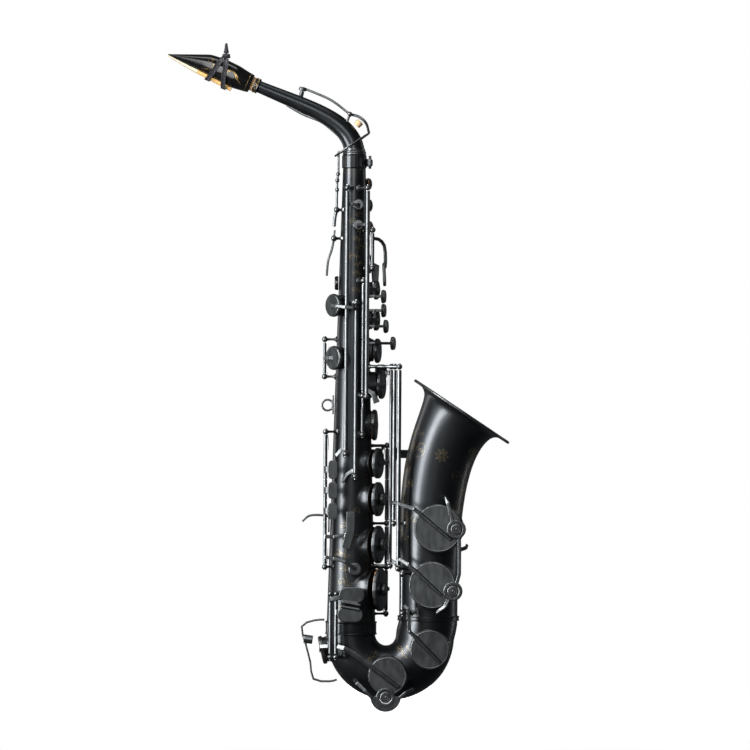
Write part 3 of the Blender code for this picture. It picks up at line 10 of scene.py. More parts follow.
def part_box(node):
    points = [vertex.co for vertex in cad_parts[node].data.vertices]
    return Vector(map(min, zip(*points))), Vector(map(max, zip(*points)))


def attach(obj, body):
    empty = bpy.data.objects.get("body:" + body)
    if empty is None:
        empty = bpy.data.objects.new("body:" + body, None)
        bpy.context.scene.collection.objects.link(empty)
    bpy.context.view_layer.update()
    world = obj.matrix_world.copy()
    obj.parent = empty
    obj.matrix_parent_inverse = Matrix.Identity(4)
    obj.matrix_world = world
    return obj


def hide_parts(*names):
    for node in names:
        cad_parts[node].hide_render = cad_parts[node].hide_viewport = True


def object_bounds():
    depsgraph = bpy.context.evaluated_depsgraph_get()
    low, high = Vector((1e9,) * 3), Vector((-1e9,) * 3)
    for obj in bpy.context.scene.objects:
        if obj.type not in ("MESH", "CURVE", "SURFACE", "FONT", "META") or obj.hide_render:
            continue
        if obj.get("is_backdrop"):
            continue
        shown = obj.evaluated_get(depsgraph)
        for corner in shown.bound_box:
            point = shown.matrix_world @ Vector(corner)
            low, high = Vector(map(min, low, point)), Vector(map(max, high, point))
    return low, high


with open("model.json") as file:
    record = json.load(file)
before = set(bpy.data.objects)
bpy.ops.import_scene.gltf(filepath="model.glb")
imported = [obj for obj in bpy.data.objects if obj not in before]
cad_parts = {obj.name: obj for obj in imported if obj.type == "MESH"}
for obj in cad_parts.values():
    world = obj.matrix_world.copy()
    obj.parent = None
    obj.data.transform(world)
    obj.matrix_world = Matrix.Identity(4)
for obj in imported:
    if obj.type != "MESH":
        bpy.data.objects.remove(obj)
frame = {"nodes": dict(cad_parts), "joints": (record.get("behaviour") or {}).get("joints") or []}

MM = 0.001
UP = Vector((0, 0, 1))
SIDE = Vector((0, 1, 0))
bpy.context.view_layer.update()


# ---- places read from the frame -----------------------------------------------------------------
def box(node):
    low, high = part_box(node)
    return Vector(low) / MM, Vector(high) / MM


def middle(node):
    low, high = box(node)
    return (low + high) / 2


joints = {joint["child"]: joint for joint in frame["joints"]}


def pivot(body):
    return Vector(joints[body]["pos_m"]) / MM


WALL = 1.1
FERRULE_OUT = 1.5
FERRULE_WALL = 1.2
BODY_X = middle("body_bow_ferrule").x
BODY_TOP_Z = box("neck_receiver")[0].z - 0.3
BODY_BOTTOM_Z = box("body_bow_ferrule")[1].z - 1.0
BODY_BOTTOM_R = (box("body_bow_ferrule")[1].y - box("body_bow_ferrule")[0].y) / 2 - FERRULE_OUT
BODY_TOP_R = 12.2
BELL_X = middle("bow_bell_ferrule").x
BELL_JOINT_Z = middle("bow_bell_ferrule").z
BOW_R = (BELL_X - 3.4 - BODY_X) / 2
BOW_Z = BODY_BOTTOM_Z - 14.0
BELL_TUBE_R = 31.2
BELL_RIM_R = box("bell")[1].y
BELL_LEAN = math.radians(33.5)
BELL_RISE = 221.6
BELL_REACH = 34.5
RIM_ROLL_R = 1.5
LEAN = Vector((math.sin(BELL_LEAN), 0, math.cos(BELL_LEAN)))
RIM_CENTRE = Vector((BELL_X + BELL_REACH, 0, BELL_JOINT_Z + BELL_RISE))

OPEN_AT_REST = {"f_sharp_key", "f_key", "e_key", "d_key", "b_key", "bis_key", "a_key", "g_key",
                "low_b_flat_key", "low_b_key", "low_c_key"}


def turned(body, point, share, direction=False):
    """A point or direction on a key, turned about its hinge by a share of its range."""
    turn = math.radians(share * joints[body]["range_deg"][1])
    spin = Matrix.Rotation(turn, 3, Vector(joints[body]["axis"]))
    return spin @ point if direction else pivot(body) + spin @ (point - pivot(body))


def closed(body, point, direction=False):
    """A point or direction on a key, carried from where the key rests to where its pad is shut."""
    return turned(body, point, 1, direction) if body in OPEN_AT_REST else point.copy()


def cup_of(node):
    """(middle, outward normal, radius) of a key's cup: the largest round flat of its CAD mesh."""
    flats = {}
    for polygon in frame["nodes"][node].data.polygons:
        plane = polygon.normal.dot(polygon.center) / MM
        key = (*(round(c, 2) for c in polygon.normal), round(plane, 1))
        flats.setdefault(key, []).append(polygon)
    vertices = frame["nodes"][node].data.vertices
    best = None
    for polygons in flats.values():
        area = sum(p.area for p in polygons) / MM ** 2
        if area < 60:
            continue
        centre = sum((p.center * p.area for p in polygons), Vector()) / (area * MM ** 2)
        radius = max((vertices[i].co - centre).length for p in polygons for i in p.vertices) / MM
        if area > 0.86 * math.pi * radius ** 2 and (best is None or area > best[0]):
            best = (area, centre / MM, -polygons[0].normal, radius)
    return best[1:]


# ---- mesh building ------------------------------------------------------------------------------
def skin(rings, closed_loop=False, caps=True, into=None):
    """Quads between rings of points; without closed_loop, the end rings are capped."""
    bm = into or bmesh.new()
    loops = [[bm.verts.new(point) for point in ring] for ring in rings]
    count = len(loops[0])
    pairs = list(zip(loops, loops[1:]))
    if closed_loop:
        pairs.append((loops[-1], loops[0]))
    for low, high in pairs:
        for i in range(count):
            j = (i + 1) % count
            bm.faces.new((low[i], low[j], high[j], high[i]))
    if caps and not closed_loop:
        bm.faces.new(list(reversed(loops[0])))
        bm.faces.new(loops[-1])
    return bm


def across(axis):
    axis = axis.normalized()
    helper = UP if abs(axis.z) < 0.9 else SIDE
    side = axis.cross(helper).normalized()
    return side, axis.cross(side).normalized()


def circle(centre, axis, radius, count, side=None, up=None):
    if side is None:
        side, up = across(axis)
    steps = (2 * math.pi * i / count for i in range(count))
    return [centre + radius * (math.cos(a) * side + math.sin(a) * up) for a in steps]


def lathe(centre, axis, profile, count=32, loop=False, into=None):
    """A turned form: profile lists (height along axis, radius)."""
    axis = Vector(axis).normalized()
    side, up = across(axis)
    rings = [circle(Vector(centre) + axis * h, axis, r, count, side, up) for h, r in profile]
    return skin(rings, closed_loop=loop, into=into)


def smooth_path(points, steps):
    """A Catmull-Rom curve through points, with steps pieces between each two."""
    points = [Vector(p) for p in points]
    points = [2 * points[0] - points[1]] + points + [2 * points[-1] - points[-2]]
    curve = []
    for a, b, c, d in zip(points, points[1:], points[2:], points[3:]):
        for i in range(steps):
            t = i / steps
            curve.append(0.5 * (2 * b + (c - a) * t + (2 * a - 5 * b + 4 * c - d) * t * t
                                + (3 * b - a - 3 * c + d) * t ** 3))
    return curve + [points[-2]]


def bezier(a, b, c, d, steps):
    """A cubic curve from a to d, drawn towards b and c."""
    return [a * (1 - t) ** 3 + b * 3 * t * (1 - t) ** 2 + c * 3 * t * t * (1 - t) + d * t ** 3
            for t in (i / steps for i in range(steps + 1))]


def frames_along(points, hint=SIDE):
    """(point, tangent, side, up) at each point of a path."""
    found = []
    for i, point in enumerate(points):
        tangent = (points[min(i + 1, len(points) - 1)] - points[max(i - 1, 0)]).normalized()
        side = (hint - tangent * hint.dot(tangent)).normalized()
        found.append((point, tangent, side, tangent.cross(side)))
    return found


def sweep(points, radii, count=32, hint=SIDE, into=None):
    if not isinstance(radii, (list, tuple)):
        radii = [radii] * len(points)
    rings = [circle(p, t, r, count, side, up)
             for (p, t, side, up), r in zip(frames_along(points, hint), radii)]
    return skin(rings, into=into)


def hollow(points, radii, wall, count, hint=SIDE):
    """A tube wall along a path: out along its outside and back along its inside."""
    frames = frames_along(points, hint)
    outside = [circle(p, t, r, count, side, up) for (p, t, side, up), r in zip(frames, radii)]
    inside = [circle(p, t, r - wall, count, side, up) for (p, t, side, up), r in zip(frames, radii)]
    return skin(outside + inside[::-1], closed_loop=True)


def rounded_bar(points, widths, thickness, hint, corner=0.45, steps=3, into=None):
    """A flat bar with round edges along a path."""
    rings = []
    for (point, _, side, up), wide in zip(frames_along(points, hint), widths):
        ring = []
        for quarter, (sx, sy) in enumerate(((1, 1), (-1, 1), (-1, -1), (1, -1))):
            for step in range(steps + 1):
                a = math.pi / 2 * (quarter + step / steps)
                x = sx * (wide / 2 - corner) + corner * math.cos(a)
                y = sy * (thickness / 2 - corner) + corner * math.sin(a)
                ring.append(point + side * x + up * y)
        rings.append(ring)
    return skin(rings, into=into)


def between(values, count):
    """count values that run evenly along a list of values."""
    last = len(values) - 1
    found = []
    for i in range(count):
        at = i / (count - 1) * last
        low = min(int(at), last - 1)
        found.append(values[low] + (values[low + 1] - values[low]) * (at - low))
    return found


def piece(name, bm, look, body, slot, *replaced, sharp=38):
    """An object in metres from a mesh in millimetres, riding on a CAD body."""
    bmesh.ops.recalc_face_normals(bm, faces=bm.faces)
    mesh = bpy.data.meshes.new(name)
    bm.to_mesh(mesh)
    bm.free()
    mesh.transform(Matrix.Scale(MM, 4))
    mesh.materials.append(LOOKS[look])
    mesh.shade_smooth()
    mesh.set_sharp_from_angle(angle=math.radians(sharp))
    obj = bpy.data.objects.new(name, mesh)
    bpy.context.scene.collection.objects.link(obj)
    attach(obj, body)
    if replaced:
        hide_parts(*replaced)
    return obj


# ---- finishes -----------------------------------------------------------------------------------
LOOKS = {}


class Finish:
    """One procedural material, built up socket by socket. Texture scales are per metre."""

    def __init__(self, name, colour, roughness, metallic=0.0, coat=0.0, specular=0.5):
        self.material = bpy.data.materials.new(name)
        self.material.use_nodes = True
        self.tree = self.material.node_tree
        self.shader = self.tree.nodes["Principled BSDF"]
        self.shader.inputs["Base Color"].default_value = (*colour, 1)
        self.shader.inputs["Roughness"].default_value = roughness
        self.shader.inputs["Metallic"].default_value = metallic
        self.shader.inputs["Coat Weight"].default_value = coat
        self.shader.inputs["Coat Roughness"].default_value = 0.12
        self.shader.inputs["Specular IOR Level"].default_value = specular
        self.places = self.tree.nodes.new("ShaderNodeTexCoord").outputs["Object"]
        self.height = None
        LOOKS[name] = self.material

    def add(self, kind, vector, **values):
        """A shader node fed by vector, its inputs set by name."""
        node = self.tree.nodes.new("ShaderNode" + kind)
        for name, value in values.items():
            node.inputs[name].default_value = value
        self.tree.links.new(vector, node.inputs["Vector"])
        return node.outputs

    def noise(self, scale, stretch=(1, 1, 1), detail=4.0, turn=(0, 0, 0)):
        mapped = self.add("Mapping", self.places, Scale=stretch, Rotation=turn)["Vector"]
        return self.add("TexNoise", mapped, Scale=scale, Detail=detail)["Fac"]

    def cells(self, scale):
        return self.add("TexVoronoi", self.places, Scale=scale)["Distance"]

    def weave(self, scale, turn):
        mapped = self.add("Mapping", self.places, Rotation=turn)["Vector"]
        return self.add("TexWave", mapped, Scale=scale, Distortion=0.6)["Fac"]

    def span(self, value, low, high, start=0.3, end=0.7):
        """The texture's value carried from start..end to low..high."""
        node = self.tree.nodes.new("ShaderNodeMapRange")
        for name, number in (("From Min", start), ("From Max", end), ("To Min", low), ("To Max", high)):
            node.inputs[name].default_value = number
        self.tree.links.new(value, node.inputs["Value"])
        return node.outputs["Result"]

    def rough(self, value, low, high):
        self.tree.links.new(self.span(value, low, high), self.shader.inputs["Roughness"])
        return self

    def tint(self, value, colour, most=1.0, start=0.4, end=0.7):
        """Mix the base colour towards another where the texture is high."""
        socket = self.shader.inputs["Base Color"]
        mix = self.tree.nodes.new("ShaderNodeMix")
        mix.data_type = "RGBA"
        if socket.is_linked:
            self.tree.links.new(socket.links[0].from_socket, mix.inputs["A"])
        else:
            mix.inputs["A"].default_value = socket.default_value
        mix.inputs["B"].default_value = (*colour, 1)
        self.tree.links.new(self.span(value, 0.0, most, start, end), mix.inputs["Factor"])
        self.tree.links.new(mix.outputs["Result"], socket)
        return self

    def worn(self, colour, most=0.5, start=0.53, end=0.62):
        """Edges rubbed towards another colour."""
        edges = self.tree.nodes.new("ShaderNodeNewGeometry").outputs["Pointiness"]
        return self.tint(edges, colour, most, start, end)

    def bump(self, value, depth_mm, strength=1.0):
        node = self.tree.nodes.new("ShaderNodeBump")
        node.inputs["Strength"].default_value = strength
        node.inputs["Distance"].default_value = depth_mm * MM
        self.tree.links.new(value, node.inputs["Height"])
        if self.height:
            self.tree.links.new(self.height, node.inputs["Normal"])
        self.height = node.outputs["Normal"]
        self.tree.links.new(self.height, self.shader.inputs["Normal"])
        return self


ALONG_REED = (0, math.radians(-23), 0)


def make_finishes():
    lacquer = Finish("lacquer", (0.034, 0.037, 0.040), 0.36, metallic=0.9, coat=0.10)
    lacquer.rough(lacquer.noise(60, (1, 1, 0.25)), 0.30, 0.40)
    lacquer.tint(lacquer.noise(26, (1, 1, 0.4)), (0.022, 0.025, 0.028))
    lacquer.worn((0.10, 0.09, 0.075), 0.3)
    lacquer.bump(lacquer.noise(1400, detail=2.0), 0.006).bump(lacquer.noise(45), 0.05, 0.5)

    key = Finish("key", (0.105, 0.112, 0.116), 0.34, metallic=0.95, coat=0.05)
    key.rough(key.noise(220, (1, 1, 0.35)), 0.28, 0.40)
    key.tint(key.noise(70), (0.078, 0.084, 0.088))
    key.worn((0.27, 0.265, 0.25), 0.5)
    key.bump(key.noise(2600, (1, 1, 0.3), 2.0), 0.008).bump(key.noise(160), 0.03, 0.5)

    ebonite = Finish("ebonite", (0.0025, 0.0025, 0.003), 0.12, coat=0.25, specular=0.4)
    ebonite.rough(ebonite.noise(180), 0.09, 0.17).bump(ebonite.noise(900, detail=2.0), 0.003)
    ebonite.tint(ebonite.noise(120), (0.006, 0.0055, 0.0055))

    cane = Finish("cane", (0.62, 0.36, 0.12), 0.48)
    grain = cane.noise(900, (0.05, 1, 1), turn=ALONG_REED)
    cane.rough(grain, 0.40, 0.58).tint(grain, (0.44, 0.24, 0.07), 0.7)
    fibres = cane.noise(1600, (0.03, 1, 1), turn=ALONG_REED)
    cane.tint(fibres, (0.78, 0.55, 0.27), 0.6, 0.5, 0.75)
    cane.bump(grain, 0.05)

    shaved = Finish("cane_shaved", (0.58, 0.50, 0.36), 0.55)
    grain = shaved.noise(1100, (0.05, 1, 1), turn=ALONG_REED)
    shaved.rough(grain, 0.48, 0.62).tint(grain, (0.36, 0.33, 0.28), 0.8).bump(grain, 0.04)

    cork = Finish("cork", (0.50, 0.31, 0.16), 0.85)
    cork.tint(cork.cells(700), (0.30, 0.17, 0.08), 0.7, 0.2, 0.6)
    cork.tint(cork.noise(900), (0.70, 0.50, 0.30), 0.6, 0.5, 0.7)
    cork.rough(cork.noise(400), 0.75, 0.95).bump(cork.cells(900), 0.12)

    bumper = Finish("bumper", (0.66, 0.45, 0.26), 0.8)
    bumper.tint(bumper.noise(1100), (0.46, 0.28, 0.14), 0.7).rough(bumper.noise(500), 0.7, 0.92)
    bumper.bump(bumper.cells(1200), 0.08)

    felt = Finish("felt", (0.035, 0.036, 0.038), 0.95)
    felt.tint(felt.noise(1500), (0.075, 0.074, 0.072)).rough(felt.noise(800), 0.88, 1.0)
    felt.bump(felt.noise(2200, detail=8.0), 0.25)

    strap = Finish("strap", (0.020, 0.020, 0.026), 0.55)
    weave = strap.weave(900, (0, math.radians(45), 0))
    strap.rough(weave, 0.42, 0.66).tint(weave, (0.045, 0.043, 0.055))
    strap.bump(weave, 0.12).bump(strap.weave(900, (math.radians(90), 0, math.radians(45))), 0.12)

    gold = Finish("gold", (0.80, 0.56, 0.20), 0.30, metallic=1.0)
    gold.rough(gold.noise(800), 0.24, 0.42).tint(gold.noise(300), (0.52, 0.33, 0.10), 0.7)
    gold.bump(gold.noise(2400), 0.01)

    cut_line = Finish("engraving", (0.30, 0.235, 0.125), 0.40, metallic=0.85)
    cut_line.rough(cut_line.noise(1200), 0.34, 0.55)
    cut_line.tint(cut_line.noise(90), (0.16, 0.12, 0.06), 0.85, 0.42, 0.6)
    cut_line.bump(cut_line.noise(3000), 0.02)

    leather = Finish("leather", (0.42, 0.24, 0.12), 0.60)
    leather.tint(leather.noise(240), (0.28, 0.15, 0.07), 0.8)
    leather.rough(leather.noise(500), 0.5, 0.72).bump(leather.cells(1500), 0.05)

    pearl = Finish("pearl", (0.020, 0.022, 0.026), 0.12, coat=0.8)
    pearl.tint(pearl.noise(330, (1, 2, 0.6)), (0.085, 0.095, 0.105), 0.8, 0.45, 0.7)
    pearl.rough(pearl.noise(500), 0.08, 0.2).bump(pearl.noise(700), 0.01)

    steel = Finish("steel", (0.42, 0.43, 0.45), 0.26, metallic=1.0)
    steel.rough(steel.noise(1600, (1, 1, 0.1)), 0.2, 0.36).tint(steel.noise(400), (0.27, 0.28, 0.31))
    steel.bump(steel.noise(3000, (1, 1, 0.1)), 0.006)


# ---- the tubes ----------------------------------------------------------------------------------
TUBE_SIDES = 128


def body_radius(z):
    share = (BODY_TOP_Z - z) / (BODY_TOP_Z - BODY_BOTTOM_Z)
    return BODY_TOP_R + (BODY_BOTTOM_R - BODY_TOP_R) * share


def body_shell():
    heights = between([BODY_BOTTOM_Z, BODY_TOP_Z], 40)
    return hollow([Vector((BODY_X, 0, z)) for z in heights], [body_radius(z) for z in heights],
                  WALL, TUBE_SIDES)


def bow_line(steps=48):
    """The bow's centre line and radii, from the body's end round to the bell's."""
    centre = Vector((BODY_X + BOW_R, 0, BOW_Z))
    line = [Vector((BODY_X, 0, BODY_BOTTOM_Z - 0.3))]
    radii = [26.0]
    for i in range(steps + 1):
        a = math.pi * (1 + i / steps)
        line.append(centre + Vector((math.cos(a), 0, math.sin(a))) * BOW_R)
        radii.append(26.0 + (BELL_TUBE_R - 26.0) * min(1.0, i / steps * 1.25))
    for below in (9.0, 4.0, 0.3):
        line.append(Vector((BELL_X - (below > 8) * 0.9, 0, BELL_JOINT_Z - below)))
        radii.append(BELL_TUBE_R)
    return line, radii


def bell_spine(steps=160):
    bend = BELL_RISE * 0.54
    foot = Vector((BELL_X, 0, BELL_JOINT_Z))
    return bezier(foot, foot + UP * bend, RIM_CENTRE - LEAN * bend * 0.5, RIM_CENTRE, steps)


BELL_SPINE = bell_spine()
BELL_LENGTH = sum((b - a).length for a, b in zip(BELL_SPINE, BELL_SPINE[1:]))
FLARE_START = 38.0


def bell_radius(below):
    """The bell's outer radius at a distance below its rim: a slow cone that opens into a flange."""
    cone = BELL_TUBE_R + (FLARE_START - BELL_TUBE_R) * max(0.0, 1 - below / 200.0) ** 1.35
    flare = (BELL_RIM_R - FLARE_START) * (0.62 * math.exp(-below / 1.9) + 0.38 * math.exp(-below / 13.0))
    return cone + flare


def bell_frame(below):
    """Centre, tangent, and the two directions across, at a distance below the rim."""
    left = BELL_LENGTH - below
    for a, b in zip(BELL_SPINE, BELL_SPINE[1:]):
        step = (b - a).length
        if left <= step:
            break
        left -= step
    tangent = (b - a).normalized()
    return a + tangent * left, tangent, SIDE, tangent.cross(SIDE)


def on_bell(angle, below, stand=0.0):
    centre, tangent, side, up = bell_frame(below)
    slope = math.atan2(bell_radius(max(0.0, below - 0.5)) - bell_radius(below + 0.5), 1.0)
    out = side * math.cos(angle) + up * math.sin(angle)
    radius = bell_radius(below)
    return centre + out * (radius + stand * math.cos(slope)) - tangent * stand * math.sin(slope)


def bell_shell():
    steps = [0.0, 0.4, 0.9, 1.5, 2.2, 3.0, 4.0, 5.2, 6.6, 8.2, 10, 12, 14.5, 17, 20, 24, 28]
    steps += [34 + 6 * i for i in range(int((BELL_LENGTH - 34) / 6))] + [BELL_LENGTH]
    outside = []
    inside = []
    for below in steps:
        angles = [2 * math.pi * i / TUBE_SIDES for i in range(TUBE_SIDES)]
        outside.append([on_bell(a, below) for a in angles])
        inside.append([on_bell(a, below, -WALL) for a in angles])
    return skin(outside[::-1] + inside, closed_loop=True)


def bell_roll():
    """The wire-rolled edge of the bell."""
    tangent = (BELL_SPINE[-1] - BELL_SPINE[-2]).normalized()
    radius = BELL_RIM_R - RIM_ROLL_R
    rim = circle(RIM_CENTRE - tangent * 0.6, tangent, radius, TUBE_SIDES, SIDE, tangent.cross(SIDE))
    rings = []
    for point in rim:
        out = (point - RIM_CENTRE).normalized()
        rings.append([point + (out * math.cos(b) + tangent * math.sin(b)) * RIM_ROLL_R
                      for b in (2 * math.pi * k / 12 for k in range(12))])
    return skin(rings, closed_loop=True)


class Surface:
    """A tube's outer surface, for setting feet and tone holes on it."""

    def __init__(self, bm):
        self.tree = BVHTree.FromBMesh(bm)

    def below(self, point, direction):
        """How far along direction from point the surface lies, and its normal."""
        hit, normal, _, distance = self.tree.ray_cast(point, direction)
        return (distance, normal) if hit else (None, None)


LIP_R = 0.75               # of a tone hole's rolled rim


def chimney(surface, centre, normal, radius, fillet=2.2, sides=72):
    """A drawn tone hole: a rolled rim, a bore, and a foot that flows into the tube."""
    side, up = across(normal)
    top = centre - normal * 0.3
    rows = []
    for i in range(sides):
        a = 2 * math.pi * i / sides
        out = side * math.cos(a) + up * math.sin(a)
        row = [top + out * (radius - 1.5) - normal * 9.0, top + out * (radius - 1.5) - normal * 0.5]
        for k in range(7):
            b = math.pi * (1.0 - 1.25 * k / 6)
            lip = out * LIP_R * (math.cos(b) - 1) + normal * LIP_R * (math.sin(b) - 1)
            row.append(top + out * radius + lip)
        for k in range(6):
            b = math.pi / 2 * k / 5
            at = top + out * (radius - 0.2 + fillet * (1 - math.cos(b))) - normal * 1.5
            down, _ = surface.below(at, -normal)
            drop = down if down is not None and down < 30 else 6.0
            rise = fillet * (1 - math.sin(b)) - 0.05
            row.append(at - normal * max(0.0, drop - rise))
        rows.append(row)
    return skin([list(ring) for ring in zip(*rows)], caps=False)


BODY_KEYS = ("f_sharp_key", "f_key", "e_key", "d_key", "b_key", "bis_key", "a_key", "g_key",
             "g_sharp_key", "high_e_key", "high_f_sharp_key", "side_c_key", "side_b_flat_key",
             "alt_f_sharp_key", "palm_f_key", "palm_e_flat_key", "palm_d_key")
BOW_KEYS = ("low_e_flat_key", "low_c_key", "low_c_sharp_key")
BELL_KEYS = ("low_b_key", "low_b_flat_key")
PAD_INSET = 0.9
CHIMNEY_INSET = 1.6


def tone_holes(keys, surface):
    for key in keys:
        centre, normal, radius = cup_of(key)
        shut, facing = closed(key, centre), closed(key, normal, True)
        bm = chimney(surface, shut, facing, radius - CHIMNEY_INSET)
        piece(f"tone_hole_{key}", bm, "lacquer", "horn", "lacquer")
        pad = [(0.25, 0.01), (0.25, radius - PAD_INSET - 0.8), (-0.1, radius - PAD_INSET),
               (-1.4, radius - PAD_INSET), (-1.4, 0.01)]
        profile = [(-h, r) for h, r in pad][::-1]
        piece(f"pad_{key}", lathe(centre, normal, profile, 48), "leather", key, "cork")


# ---- posts and rods -----------------------------------------------------------------------------
# Hinge line's key, what the post stands on, and the heights of its post heads.
POSTS = (
    ("d_key", "body", (-43.1, -126.4, -173.4, -223.2)),
    ("b_key", "body", (133.0, 10.4, -31.0)),
    ("high_e_key", "body", (232.0, -51.4)),
    ("high_f_sharp_key", "body", (232.0, 9.6)),
    ("side_c_key", "body", (109.4, -75.4)),
    ("side_b_flat_key", "body", (70.4, 30.6)),
    ("high_e_touch", "body", (-28.2, -172.4)),
    ("low_e_flat_key", "body", (-200.6,)),
    ("low_c_key", "body", (-200.6,)),
    ("palm_f_key", "body", (244.4, 196.6)),
    ("palm_e_flat_key", "body", (221.4, 156.6)),
    ("palm_d_key", "body", (197.4, 140.6)),
    ("front_f_key", "body", (187.4, 146.6)),
    ("c_sharp_lever", "body", (41.6, -171.0)),
    ("low_b_flat_key", "body", (41.6,)),
    ("low_b_key", "body", (41.6,)),
    ("low_e_flat_key", "bow", (-267.9,)),
    ("low_c_key", "bow", (-267.9,)),
    ("low_b_flat_key", "bell", (-125.4,)),
    ("low_b_key", "bell", (-173.4,)),
    ("low_c_sharp_key", "bell", (-178.6, -220.4)),
)
BALL_R = 3.1


def ball_end(radius, start, step, count):
    """The profile of a ball head, from where its stem meets it to its far pole."""
    angles = (math.radians(start + step * k) for k in range(count))
    return [(radius * math.cos(a), max(0.02, radius * math.sin(a))) for a in angles]


def post(bm, surface, head, root):
    """A turned post: a flanged foot on the tube, a waisted stem and a ball head."""
    inward = (root - head).normalized()
    distance, _ = surface.below(head, inward)
    length = distance if distance else (root - head).length
    waist = max(1.25, min(1.7, length * 0.08))
    foot = length + 0.3
    profile = [(foot, 3.3), (length - 0.7, 3.3), (length - 1.1, 2.9), (length - 1.6, 2.0),
               (length * 0.72, waist), (length * 0.45, waist), (max(3.6, length * 0.3), waist + 0.15)]
    lathe(head, inward, profile + ball_end(BALL_R, 28, 19, 9), 24, into=bm)


def posts(surfaces):
    for number, (key, tube, heights) in enumerate(POSTS):
        line = pivot(key)
        bm = bmesh.new()
        for z in heights:
            head = Vector((line.x, line.y, z))
            root = {"body": Vector((BODY_X, 0, z)),
                    "bow": Vector((BODY_X + 6.0, -6.0, -267.0)),
                    "bell": Vector((BELL_X + 2.5, 0, z))}[tube]
            post(bm, surfaces[tube], head, root)
        piece(f"posts_{number + 1}_{key}", bm, "key", "horn", "lacquer")
        screws = bmesh.new()
        for z in (heights[0], heights[-1]):
            away = UP if z == heights[0] and len(heights) > 1 or z > 0 else -UP
            screw = [(1.5, 1.5), (3.2, 1.5), (3.45, 1.2), (3.45, 0.02)]
            lathe((line.x, line.y, z), away, screw, 20, into=screws)
        piece(f"pivot_screws_{number + 1}_{key}", screws, "steel", "horn", "key")
    bm = bmesh.new()
    for height, body in ((10.4, "octave_thumb_key"), (9.4, "octave_mechanism")):
        place = pivot(body)
        for y in (-height, height):
            head = Vector((place.x, y, place.z))
            post(bm, surfaces["body"], head, Vector((BODY_X - 4.0, y * 0.3, place.z)))
    piece("posts_octave", bm, "key", "horn", "lacquer")


def springs_and_rods():
    """Blued needle springs beside the hinge tubes, and the steel rods that show between them."""
    wires = bmesh.new()
    for key, tube, heights in POSTS:
        line = pivot(key)
        if tube != "body" or len(heights) < 2:
            continue
        inward = (Vector((BODY_X, 0, 0)) - Vector((line.x, line.y, 0))).normalized()
        for z, way in ((heights[0], -1), (heights[-1], 1)):
            start = Vector((line.x, line.y, z)) + inward * 2.4
            end = start + UP * way * 20.0 + inward * 1.6
            sweep([start, (start + end) / 2 + inward * 0.5, end], [0.38, 0.34, 0.22], 8, into=wires)
    piece("needle_springs", wires, "steel", "horn", "key")
    rods = bmesh.new()
    for key in ("d_key", "b_key", "high_e_touch"):
        heights = next(h for k, _, h in POSTS if k == key)
        line = pivot(key)
        lathe((line.x, line.y, heights[-1]), UP, [(0, 1.3), (heights[0] - heights[-1], 1.3)], 20, into=rods)
    piece("hinge_rods", rods, "steel", "horn", "key")


# ---- engraving ----------------------------------------------------------------------------------
def spiral(at, size, turns, hand, heading, steps=30):
    points = []
    for i in range(steps + 1):
        t = i / steps
        angle = heading + hand * turns * 2 * math.pi * t
        reach = size * (1 - t) ** 1.15
        points.append((at[0] + reach * math.cos(angle), at[1] + reach * math.sin(angle)))
    return points


def leaf(at, heading, length, width):
    """A pointed leaf's outline and its vein."""
    outline = []
    for side in (1, -1):
        for i in range(9):
            t = i / 8 if side > 0 else 1 - i / 8
            along, out = length * t, side * width * math.sin(math.pi * t) * (1 - 0.35 * t)
            outline.append((at[0] + along * math.cos(heading) - out * math.sin(heading),
                            at[1] + along * math.sin(heading) + out * math.cos(heading)))
    reach = 0.8 * length
    return [outline, [outline[0], (at[0] + reach * math.cos(heading), at[1] + reach * math.sin(heading))]]


def vine(length, sway, size):
    """Lines of a climbing vine, as (across, along) points: a waving stem with scrolls and leaves."""
    stem = []
    for i in range(61):
        t = i / 60
        stem.append((sway * math.sin(t * length / size * 0.9), t * length))
    lines = [stem]
    count = int(length / (size * 1.15))
    for n in range(count):
        at = stem[int((n + 0.5) / count * 60)]
        hand = 1 if n % 2 else -1
        reach = size * (0.62 + 0.16 * math.sin(n * 1.7))
        eye = (at[0] + hand * reach, at[1] + 0.35 * size)
        lines.append(spiral(eye, reach, 1.6, hand, math.pi if hand > 0 else 0.0))
        lines += leaf(at, math.pi / 2 - hand * 0.75, size * 0.62, size * 0.16)
        lines += leaf(at, math.pi / 2 + hand * 1.15, size * 0.5, size * 0.13)
        lines += leaf(eye, math.pi / 2 - hand * 2.1, size * 0.42, size * 0.12)
    return lines


def rosette(size, petals=8):
    """A plain flower: petals round a ringed eye."""
    lines = [[(size * 0.24 * math.cos(a), size * 0.24 * math.sin(a))
              for a in (2 * math.pi * i / 24 for i in range(25))]]
    for n in range(petals):
        heading = 2 * math.pi * n / petals
        foot = (size * 0.26 * math.cos(heading), size * 0.26 * math.sin(heading))
        lines += leaf(foot, heading, size * 0.74, size * 0.2)
    return lines


def engrave(lines, to_surface, width=0.13):
    """Fine inlaid lines: each is a thin bead half sunk in the surface that to_surface gives."""
    bm = bmesh.new()
    for line in lines:
        points = [to_surface(u, v) for u, v in line]
        radii = [width * (0.35 + 0.65 * math.sin(math.pi * (i + 0.6) / (len(points) + 0.2)))
                 for i in range(len(points))]
        rings = []
        for i, point in enumerate(points):
            ahead = points[min(i + 1, len(points) - 1)] - points[max(i - 1, 0)]
            if ahead.length < 1e-4:
                ahead = UP.copy()
            out = (to_surface(*line[i], 1.0) - point).normalized()
            side = ahead.normalized().cross(out).normalized()
            r = radii[i]
            rings.append([point + side * r - out * 0.1, point + side * r * 0.7 + out * 0.05,
                          point - side * r * 0.7 + out * 0.05, point - side * r - out * 0.1])
        skin(rings, into=bm)
    return bm


